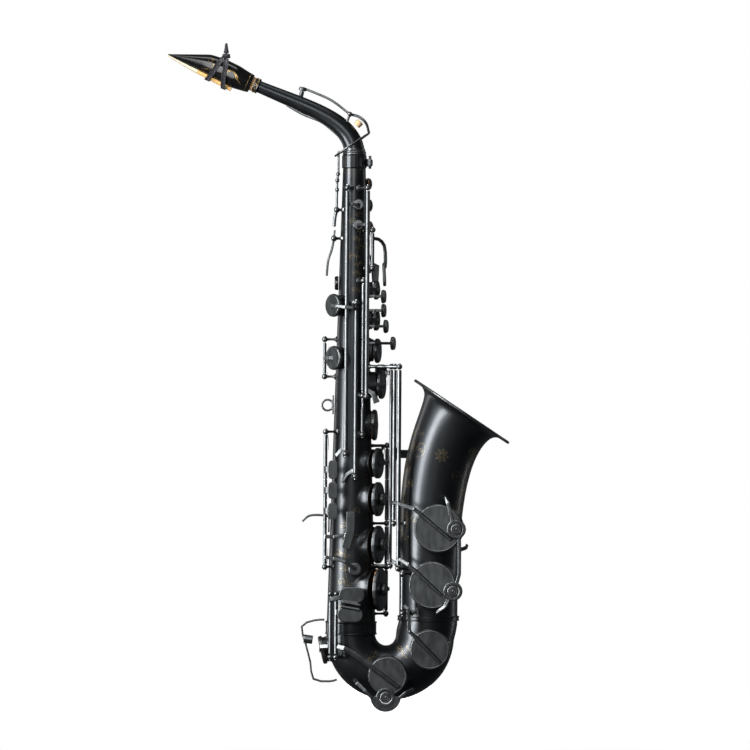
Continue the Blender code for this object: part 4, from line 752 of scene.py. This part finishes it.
def bell_pattern(angle, below_top):
    """Carry (across, along) millimetres onto the bell, climbing from below towards the rim."""
    def place(u, v, stand=0.0):
        below = below_top - v
        return on_bell(angle + u / bell_radius(below), below, stand)
    return place


def body_pattern(angle, start_z):
    def place(u, v, stand=0.0):
        z = start_z + v
        radius = body_radius(z)
        turn = angle + u / radius
        return Vector((BODY_X, 0, z)) + Vector((math.cos(turn), math.sin(turn), 0)) * (radius + stand)
    return place


def bow_pattern(line, radii, angle, start):
    lengths = [0.0]
    for a, b in zip(line, line[1:]):
        lengths.append(lengths[-1] + (b - a).length)

    def place(u, v, stand=0.0):
        at = start + v
        i = max(n for n, length in enumerate(lengths[:-1]) if length <= at)
        share = (at - lengths[i]) / (lengths[i + 1] - lengths[i])
        centre = line[i].lerp(line[i + 1], share)
        tangent = (line[i + 1] - line[i]).normalized()
        radius = radii[i] + (radii[i + 1] - radii[i]) * share
        up = tangent.cross(SIDE)
        turn = angle + u / radius
        return centre + (SIDE * math.cos(turn) + up * math.sin(turn)) * (radius + stand)
    return place


def engravings():
    climbing = vine(122.0, 3.5, 14.0)
    narrow = vine(104.0, 2.5, 10.0)
    patterns = [(f"bell_{name}", bell_pattern(math.radians(degrees), below), lines)
                for name, degrees, below, lines in (
                    ("left", 122, 152.0, climbing), ("right", 240, 152.0, climbing),
                    ("left_edge", 106, 140.0, narrow), ("right_edge", 258, 140.0, narrow),
                    ("left_back", 56, 152.0, climbing), ("right_back", 302, 152.0, climbing))]
    patterns.append(("rosette", bell_pattern(math.radians(180), 52.0), rosette(7.5)))
    patterns += [(f"body_{name}", body_pattern(math.radians(degrees), z), lines)
                 for name, degrees, z, lines in (
                     ("low", -100, -228.0, vine(120.0, 3.0, 12.0)),
                     ("high", -70, 118.0, vine(100.0, 2.0, 7.5)),
                     ("back", 120, -140.0, vine(190.0, 3.0, 11.0)))]
    patterns += [(f"bow_{name}", bow_pattern(*bow_line(), math.radians(degrees), 40.0), vine(84.0, 3.0, 12.0))
                 for name, degrees in (("right", 158), ("left", 20))]
    for name, place, lines in patterns:
        piece(f"engraving_{name}", engrave(lines, place), "engraving", "horn", "lacquer")


def tubes():
    shells = {"body": body_shell(), "bell": bell_shell()}
    line, radii = bow_line()
    shells["bow"] = hollow(line, radii, WALL, TUBE_SIDES)
    surfaces = {name: Surface(bm) for name, bm in shells.items()}
    piece("body_shell", shells["body"], "lacquer", "horn", "lacquer", "body_tube")
    piece("bow_shell", shells["bow"], "lacquer", "horn", "lacquer", "bow")
    piece("bell_shell", shells["bell"], "lacquer", "horn", "lacquer", "bell", sharp=60)
    piece("bell_rim_roll", bell_roll(), "key", "horn", "lacquer")
    tone_holes(BODY_KEYS, surfaces["body"])
    tone_holes(BOW_KEYS, surfaces["bow"])
    tone_holes(BELL_KEYS, surfaces["bell"])
    posts(surfaces)
    springs_and_rods()


def beaded_band(name, node, inner, height, bead):
    """A ferrule: a plain band with a bead at each edge."""
    centre = middle(node)
    half = height / 2
    profile = [(-half, inner), (-half, inner + 0.7)]
    for end in (-1, 1):
        for k in range(7):
            a = math.pi * (-0.5 + k / 6)
            swell = inner + 0.75 + bead * 0.8 * math.cos(a)
            profile.append((end * (half - bead) + bead * math.sin(a), swell))
        if end < 0:
            profile += [(-half + 2 * bead + 0.4, inner + 0.8), (half - 2 * bead - 0.4, inner + 0.8)]
    profile += [(half, inner)]
    piece(name, lathe(centre, UP, profile, TUBE_SIDES, loop=True), "lacquer", "horn", "lacquer", node)


def ferrules():
    for name, node, bead in (("body_ferrule_band", "body_bow_ferrule", 0.9),
                             ("bell_ferrule_band", "bow_bell_ferrule", 0.6)):
        low, high = box(node)
        beaded_band(name, node, (high.x - low.x) / 2 - FERRULE_WALL, high.z - low.z, bead)


# ---- neck ---------------------------------------------------------------------------------------
NECK_END_ANGLE = math.radians(23.0)
NECK_OUT = Vector((-math.cos(NECK_END_ANGLE), 0, math.sin(NECK_END_ANGLE)))
NECK_UP = Vector((math.sin(NECK_END_ANGLE), 0, math.cos(NECK_END_ANGLE)))
NECK_END = middle("neck_cork") - NECK_OUT * 17.2
COLLAR = pivot("neck")
NECK_BASE_R = 11.4
NECK_END_R = 6.4


def neck_line(steps=80):
    points = bezier(COLLAR, COLLAR + UP * 37.0, NECK_END - NECK_OUT * 55.0, NECK_END, steps)
    return points, between([NECK_BASE_R, NECK_END_R], steps + 1)


def neck_pieces():
    points, radii = neck_line()
    piece("neck_tube", hollow(points, radii, WALL, 96), "lacquer", "neck", "lacquer", "neck")
    collar = [(-13.0, 9.8), (-13.0, 10.6), (-12.6, 10.9), (-0.4, 10.9), (0.0, 12.4), (0.3, 12.7),
              (1.2, 12.7), (1.6, 12.3), (2.1, 12.2), (2.5, 12.6), (3.1, 12.6), (3.6, 12.0), (4.2, 11.6),
              (6.5, 11.3)]
    piece("neck_collar", lathe(COLLAR, UP, collar, 96), "key", "neck", "lacquer")
    ring = [(-0.5, 6.6), (0.0, 7.5), (0.5, 8.2), (1.0, 8.4), (1.5, 8.1), (3.6, 8.1), (4.2, 8.4), (4.8, 8.2),
            (5.2, 7.6), (5.2, 6.3)]
    piece("neck_end_ring", lathe(NECK_END, NECK_OUT, ring, 96), "lacquer", "neck", "lacquer")
    side, up = across(NECK_OUT)
    lines = []
    for n in range(14):
        hand = 1 if n % 2 else -1
        lines.append(spiral((n * 3.64, 2.55), 1.25, 1.3, hand, math.pi / 2 * hand, 16))
        lines.append([(n * 3.64 + 0.3, 1.7), (n * 3.64 + 1.8, 2.6 + hand * 0.7), (n * 3.64 + 3.4, 3.4)])

    def on_ring(u, v, stand=0.0):
        a = u / 8.12
        return NECK_END + NECK_OUT * v + (side * math.cos(a) + up * math.sin(a)) * (8.12 + stand)
    piece("neck_ring_filigree", engrave(lines, on_ring, 0.19), "gold", "neck", "lacquer")

    length = 23.4
    start = middle("neck_cork") - NECK_OUT * length / 2
    cork = [(0, 6.6), (0, 7.3), (0.3, 7.6), (length - 2.4, 7.6), (length - 0.8, 7.4), (length, 6.9),
            (length, 6.6)]
    piece("neck_cork_sleeve", lathe(start, NECK_OUT, cork, 72), "cork", "neck", "cork", "neck_cork")
    tip = [(-1.0, 5.3), (-1.0, 6.4), (29.0, 6.4), (29.2, 6.2), (29.2, 5.3)]
    piece("neck_tip", lathe(NECK_END, NECK_OUT, tip, 48, loop=True), "lacquer", "neck", "lacquer")

    stay = bmesh.new()
    path = smooth_path([COLLAR + Vector((x, 0, z)) for x, z in
                        ((-72.8, 52.6), (-55.5, 43.0), (-36.4, 35.3), (-23.7, 25.8), (-12.2, 15.7))], 12)
    rounded_bar(path, between([4.0, 5.0, 6.0, 7.0, 8.0], len(path)), 2.4, SIDE, into=stay)
    strut = [COLLAR + Vector((-66.8, 0, z)) for z in (57.1, 53.0, 48.8)]
    rounded_bar(strut, [4.0, 3.4, 4.0], 2.8, SIDE, into=stay)
    piece("neck_stay", stay, "key", "neck", "lacquer")

    place = pivot("neck_octave_key")
    saddle = bmesh.new()
    foot = Vector((19.0, 0, 303.0))
    for y in (-5.6, 5.6):
        head = Vector((place.x, y, place.z))
        root = foot + Vector((-1.5, y * 0.6, -2.5))
        length = (root - head).length
        profile = [(length + 1.0, 2.6), (length - 1.0, 2.5), (length - 2.0, 1.6), (length * 0.5, 1.3)]
        lathe(head, root - head, profile + ball_end(2.6, 30, 21, 8), 24, into=saddle)
    piece("neck_key_posts", saddle, "key", "neck", "lacquer")
    bumper = COLLAR + Vector((4.2, 0, 33.6))
    profile = [(-3.2, 2.6), (-3.2, 3.4), (-2.8, 3.9), (2.2, 4.1), (2.9, 3.6), (3.1, 2.4), (3.1, 0.02)]
    bm = lathe(bumper, (0.72, 0, 0.69), profile, 40)
    piece("neck_key_bumper", bm, "bumper", "neck_octave_key", "cork")
    pip_foot = Vector((-31.5, 0, 327.0))
    pip_top = Vector((-29.6, 0, 335.8))
    height = (pip_top - pip_foot).length
    pip = [(-2.0, 4.4), (0.8, 4.2), (1.6, 3.0), (2.4, 2.4), (height - 0.6, 2.4), (height - 0.1, 2.2),
           (height, 1.3), (height - 3.0, 1.2), (height - 3.0, 0.02)]
    piece("octave_pip", lathe(pip_foot, pip_top - pip_foot, pip, 32), "key", "neck", "lacquer")


# ---- mouthpiece ---------------------------------------------------------------------------------
MOUTHPIECE_LENGTH = 94.0
BORE_R = 7.9
BORE_DEPTH = 24.5
SHANK_END = NECK_END + NECK_OUT * 8.7


def squared(value, power):
    """A sine or cosine with its curve squared off: a power under 1 gives flatter sides."""
    return math.copysign(abs(value) ** power, value)


def in_mouthpiece(u, v, y=0.0):
    return SHANK_END + NECK_OUT * u + NECK_UP * v + Vector((0, y, 0))


def section(u):
    """(top, table, half width) at u from the shank, eased between stations."""
    stations = (
        (0.0, 9.4, -10.4, 9.9),
        (5.0, 9.8, -11.2, 10.6),
        (18.0, 12.0, -12.8, 12.2),
        (36.0, 12.9, -11.3, 12.6),
        (52.0, 11.1, -10.0, 11.8),
        (MOUTHPIECE_LENGTH, -6.7, -7.6, 7.6),
    )
    for (u0, *low), (u1, *high) in zip(stations, stations[1:]):
        if u <= u1:
            share = (u - u0) / (u1 - u0)
            return [a + (b - a) * share for a, b in zip(low, high)]
    return list(stations[-1][1:])


def mouthpiece_point(u, angle, stand=0.0):
    """A point on the outside: round at the shank, flat underneath where the reed lies."""
    span = 2.5 if 6 < u < 90 else 0.0
    samples = [section(u + d * span / 2) for d in (-2, -1, 0, 1, 2)]
    top, table, half = (sum(s[k] for s in samples) / 5 for k in range(3))
    centre = (top + table) / 2
    flat = min(1.0, max(0.0, (u - 8.0) / 11.0))
    sharp = 1.0 - (0.45 * flat if math.sin(angle) < 0 else 0.12 * flat)
    y = (half + stand) * squared(math.cos(angle), sharp)
    v = ((top - table) / 2 + stand) * squared(math.sin(angle), sharp)
    return in_mouthpiece(u, centre + v, y)


def mouthpiece_pieces():
    sides = 96
    stations = [0.0, 0.3, 0.9, 1.8] + [3.0 + i * 1.5 for i in range(61)] + [MOUTHPIECE_LENGTH]
    rings = []
    for u in stations:
        shrink = {0.0: -0.7, 0.3: -0.25, 0.9: -0.05}.get(u, 0.0)
        rings.append([mouthpiece_point(u, 2 * math.pi * i / sides, shrink) for i in range(sides)])
    bore = []
    for u, r in ((BORE_DEPTH, 0.4), (BORE_DEPTH, BORE_R), (1.2, BORE_R), (0.0, BORE_R + 0.5)):
        bore.append([in_mouthpiece(u, r * math.sin(a), r * math.cos(a))
                     for a in (2 * math.pi * i / sides for i in range(sides))])
    piece("mouthpiece_body", skin(bore + rings), "ebonite", "mouthpiece", "ebonite", "mouthpiece")

    band = []
    for u, stand in ((3.6, 0.02), (3.7, 0.2), (4.0, 0.2), (4.1, 0.02), (4.1, -0.4), (3.6, -0.4)):
        band.append([mouthpiece_point(u, 2 * math.pi * i / sides, stand) for i in range(sides)])
    piece("shank_ring", skin(band, closed_loop=True), "gold", "mouthpiece", "ebonite")
    for name, hand in (("right", -1), ("left", 1)):
        lines = []
        for n in range(5):
            crest = [(8.0 + n * 1.7 + t * (26 - n * 2.0),
                      -6.2 + n * 1.1 + (7.6 - n * 1.1) * math.sin(math.pi * t) ** 1.4 + 2.4 * t)
                     for t in (i / 30 for i in range(31))]
            lines.append(crest)
        lines += [spiral((48.5, 4.6), 3.4, 1.5, -1, 0.2), spiral((44.0, 1.5), 2.0, 1.2, 1, 2.0)]
        lines.append([(56.0 - t * 15, -5.6 + 8 * t ** 1.6) for t in (i / 16 for i in range(17))])
        lines.append([(53.0 - t * 12, -5.8 + 6.6 * t ** 1.3) for t in (i / 16 for i in range(17))])

        def on_side(u, v, stand=0.0):
            angle = math.asin(max(-0.95, min(0.95, v / 11.5)))
            if hand < 0:
                angle = math.pi - angle
            return mouthpiece_point(u, angle, stand)
        piece(f"inlay_{name}", engrave(lines, on_side, 0.15), "gold", "mouthpiece", "ebonite")
    reed()
    ligature()


REED_BUTT = 17.5
REED_TIP = MOUTHPIECE_LENGTH + 0.1
VAMP = 58.0
REED_THICKNESS = 3.7


def reed_section(u):
    """(top, bottom, half width) of the reed: a full butt, then a vamp scraped to a thin tip."""
    scrape = max(0.0, (u - VAMP) / (MOUTHPIECE_LENGTH - VAMP))
    top = section(u)[1] - 0.3
    half = 6.4 + (u - 19.0) / MOUTHPIECE_LENGTH
    tip = max(0.0, (u - REED_TIP + 3.0) / 3.0)
    return top, top - REED_THICKNESS * (1 - 0.78 * scrape ** 1.6), half - 2.6 * tip ** 2.5


def reed():
    def rings(start, end, count):
        found = []
        for u in between([start, end], count):
            top, low, half = reed_section(u)
            ring = [in_mouthpiece(u, top, -half), in_mouthpiece(u, top, half)]
            for i in range(13):
                a = math.pi * i / 12
                ring.append(in_mouthpiece(u, low + (top - low) * 0.55 * (1 - math.sin(a) ** 0.8),
                                          half * math.cos(a)))
            found.append(ring)
        return found
    piece("reed_butt", skin(rings(REED_BUTT, VAMP, 14)), "cane", "mouthpiece", "cane", "reed")
    piece("reed_vamp", skin(rings(VAMP + 0.02, REED_TIP, 30)), "cane_shaved", "mouthpiece", "cane")


STRAP_OUTLINE = ((-2.6, 0.5), (2.6, 0.5), (2.6, 1.45), (2.2, 1.5), (1.8, 1.3), (0.0, 1.36), (-1.8, 1.3),
                 (-2.2, 1.5), (-2.6, 1.45))


def strap(top_u, bottom_u, into):
    """One strap of the ligature, leaning from its top to under the reed, with raised selvedges."""
    rings = []
    steps = 72
    for i in range(steps):
        a = 2 * math.pi * i / steps
        u = top_u + (bottom_u - top_u) * (1 - math.sin(a)) / 2
        top, _, half = section(u)
        low = reed_section(u)[1] - 0.4
        centre = (top + low) / 2
        ring = []
        for du, out in STRAP_OUTLINE:
            y = (half + out) * squared(math.cos(a), 0.72)
            v = ((top - low) / 2 + out) * squared(math.sin(a), 0.72)
            ring.append(in_mouthpiece(u + du, centre + v, y))
        rings.append(ring)
    return skin(rings, closed_loop=True, into=into)


def ligature():
    bm = bmesh.new()
    strap(37.5, 45.2, bm)
    strap(35.5, 25.4, bm)
    piece("ligature_straps", bm, "strap", "mouthpiece", "strap", "ligature", sharp=50)
    place = pivot("ligature_screw")
    block = bmesh.new()
    saddle = [(-4.9, 4.2), (-4.6, 4.5), (-0.9, 4.1), (-0.5, 3.8), (-0.3, 3.2), (-0.3, 1.4), (-4.9, 1.4)]
    lathe(place, UP, saddle, 48, loop=True, into=block)
    piece("ligature_block", block, "strap", "mouthpiece", "strap")
    knob = [(-1.8, 1.0), (0.2, 1.0), (0.35, 2.3), (0.8, 2.7), (2.4, 2.8), (2.9, 2.5), (4.2, 2.2),
            (6.0, 1.9), (8.2, 1.6), (10.2, 1.4), (10.9, 1.0), (11.15, 0.4), (11.2, 0.02)]
    bm = lathe(place, UP, knob, 60)
    for vertex in bm.verts:
        height = vertex.co.z - place.z
        if 0.6 < height < 3.0:
            out = Vector((vertex.co.x - place.x, vertex.co.y, 0))
            ridge = 0.1 * math.cos(20 * math.atan2(out.y, out.x))
            vertex.co += out.normalized() * (ridge - 0.12)
    piece("ligature_knob", bm, "strap", "ligature_screw", "strap", "ligature_screw")


# ---- keys and fittings --------------------------------------------------------------------------
VOXEL = 0.00040
KEPT = {"neck_receiver": "lacquer", "thumb_rest": "ebonite"}


def refine_cad_nodes():
    """Keys and fittings keep their CAD shape: edges are rounded and joints run together like castings."""
    for name, obj in frame["nodes"].items():
        if obj.hide_render:
            continue
        look = "felt" if name.endswith("_felt") else KEPT.get(name, "key")
        obj.data.materials.clear()
        obj.data.materials.append(LOOKS[look])
        remesh = obj.modifiers.new("cast", "REMESH")
        remesh.mode = "VOXEL"
        remesh.voxel_size = VOXEL
        remesh.use_smooth_shade = True
        smooth = obj.modifiers.new("eased", "SMOOTH")
        smooth.factor = 0.5
        smooth.iterations = 4


CUP_THICKNESS = 4.4
PEARL_SEAT = 3.4
PEARLS = (
    # key, what the pearl sits on: its cup, or a touch at (x, z)
    ("f_key", None), ("e_key", None), ("d_key", None),
    ("b_key", (56.5, 116.5)), ("bis_key", (56.7, 101.5)), ("a_key", (59.0, 84.6)), ("g_key", (66.6, 66.5)),
)


def pearls():
    for key, touch in PEARLS:
        centre, normal, _ = cup_of(key)
        if touch:
            shut = closed(key, normal, True)
            seat = Vector((touch[0], -1.0, touch[1])) - shut * 1.4
            place = turned(key, seat, -1) + normal * PEARL_SEAT
        else:
            place = centre + normal * (CUP_THICKNESS + 1.0 + PEARL_SEAT)
        profile = [(-0.6, 5.9), (0.15, 5.9), (0.55, 5.6), (0.7, 5.0), (0.55, 3.6), (0.42, 2.0),
                   (0.36, 0.02)]
        piece(f"pearl_{key}", lathe(place, normal, profile, 48), "pearl", key, "ebonite")
        rim = [(-1.0, 5.95), (0.25, 5.95), (0.5, 6.3), (0.2, 6.7), (-1.0, 6.7)]
        piece(f"pearl_rim_{key}", lathe(place, normal, rim, 48, loop=True), "key", key, "key")


BIG_CUPS = ("low_b_flat_key", "low_b_key", "low_c_sharp_key", "low_c_key")


def cup_and_guard_details():
    """The turned edge of each large cup, and the ridged discs of the guards' felt adjusters."""
    for key in BIG_CUPS:
        centre, normal, radius = cup_of(key)
        ridge = [(CUP_THICKNESS + h, radius + r) for h, r in
                 ((-0.3, -2.5), (0.15, -2.3), (0.28, -1.9), (0.15, -1.5), (-0.3, -1.25))]
        piece(f"cup_edge_{key}", lathe(centre, normal, ridge, 96, loop=True), "key", key, "key")
    for node in ("low_b_flat_felt", "low_b_felt", "low_c_felt"):
        low, high = box(node)
        face = Vector(((low.x + high.x) / 2, low.y, (low.z + high.z) / 2))
        ridges = [(-1.0, 5.6), (0.1, 5.6), (0.35, 5.2), (0.35, 4.5), (0.05, 4.2), (0.05, 3.4), (0.45, 3.1),
                  (0.45, 2.2), (0.1, 1.9), (0.1, 1.0), (0.3, 0.7), (0.3, 0.02)]
        piece(f"adjuster_{node}", lathe(face, -SIDE, ridges, 72), "key", "horn", "key")


# ---- stage --------------------------------------------------------------------------------------
def floor():
    low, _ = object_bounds()
    mesh = bpy.data.meshes.new("floor")
    bm = bmesh.new()
    bmesh.ops.create_circle(bm, cap_ends=True, radius=0.55, segments=96)
    bm.to_mesh(mesh)
    bm.free()
    finish = Finish("floor", (0.93, 0.93, 0.93), 0.85)
    finish.shader.inputs["Emission Color"].default_value = (1, 1, 1, 1)
    finish.shader.inputs["Emission Strength"].default_value = 1.0
    mesh.materials.append(finish.material)
    obj = bpy.data.objects.new("floor", mesh)
    obj.location = (0.05, 0, low.z - 0.004)
    obj.visible_glossy = False
    obj.visible_diffuse = False
    bpy.context.scene.collection.objects.link(obj)
    obj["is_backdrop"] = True


def softbox(name, azimuth, elevation, distance, width, height, radiance, aim=(0.05, 0, 0.03)):
    """A softbox seen from the object at an azimuth from the camera's side, positive to its right."""
    a, e = math.radians(azimuth), math.radians(elevation)
    away = Vector((math.sin(a) * math.cos(e), -math.cos(a) * math.cos(e), math.sin(e)))
    data = bpy.data.lights.new(name, "AREA")
    data.shape = "RECTANGLE"
    data.size, data.size_y = width, height
    data.energy = radiance * math.pi * width * height
    lamp = bpy.data.objects.new(name, data)
    lamp.location = Vector(aim) + away * distance
    lamp.rotation_euler = away.to_track_quat("Z", "Y").to_euler()
    lamp.visible_camera = False
    bpy.context.scene.collection.objects.link(lamp)


def studio():
    softbox("key_light", -57, 12, 1.9, 0.60, 2.2, 27.0)
    softbox("fill_light", -6, 17, 2.4, 0.9, 0.9, 6.0)
    softbox("right_strip", 116, 6, 2.0, 0.25, 2.0, 3.0)
    softbox("left_back_strip", -132, 8, 2.0, 0.40, 2.0, 3.0)
    softbox("top_light", 10, 78, 2.0, 1.2, 0.8, 3.0)
    world = bpy.data.worlds.new("studio")
    world.use_nodes = True
    tree = world.node_tree
    sky = tree.nodes["Background"]
    sky.inputs["Color"].default_value = (1, 1, 1, 1)
    sky.inputs["Strength"].default_value = 1.0
    room = tree.nodes.new("ShaderNodeBackground")
    room.inputs["Color"].default_value = (0.90, 0.96, 1.0, 1)
    room.inputs["Strength"].default_value = 0.07
    path = tree.nodes.new("ShaderNodeLightPath")
    mix = tree.nodes.new("ShaderNodeMixShader")
    tree.links.new(path.outputs["Is Camera Ray"], mix.inputs["Fac"])
    tree.links.new(room.outputs["Background"], mix.inputs[1])
    tree.links.new(sky.outputs["Background"], mix.inputs[2])
    tree.links.new(mix.outputs["Shader"], tree.nodes["World Output"].inputs["Surface"])
    bpy.context.scene.world = world
    bpy.context.scene.view_settings.view_transform = "Standard"


FRAME_WIDTH = 0.8025
CENTRE = (0.0505, 0.0326)
ROLL = math.radians(-0.42)


def camera():
    data = bpy.data.cameras.new("camera")
    data.sensor_width = 36.0
    data.lens = 270.0
    distance = data.lens / data.sensor_width * FRAME_WIDTH
    obj = bpy.data.objects.new("camera", data)
    obj.location = (CENTRE[0], -distance, CENTRE[1])
    obj.rotation_euler = (math.pi / 2, ROLL, 0)
    data.clip_end = 100.0
    bpy.context.scene.collection.objects.link(obj)
    bpy.context.scene.camera = obj


camera()
make_finishes()
tubes()
ferrules()
engravings()
neck_pieces()
mouthpiece_pieces()
pearls()
cup_and_guard_details()
refine_cad_nodes()
floor()
studio()
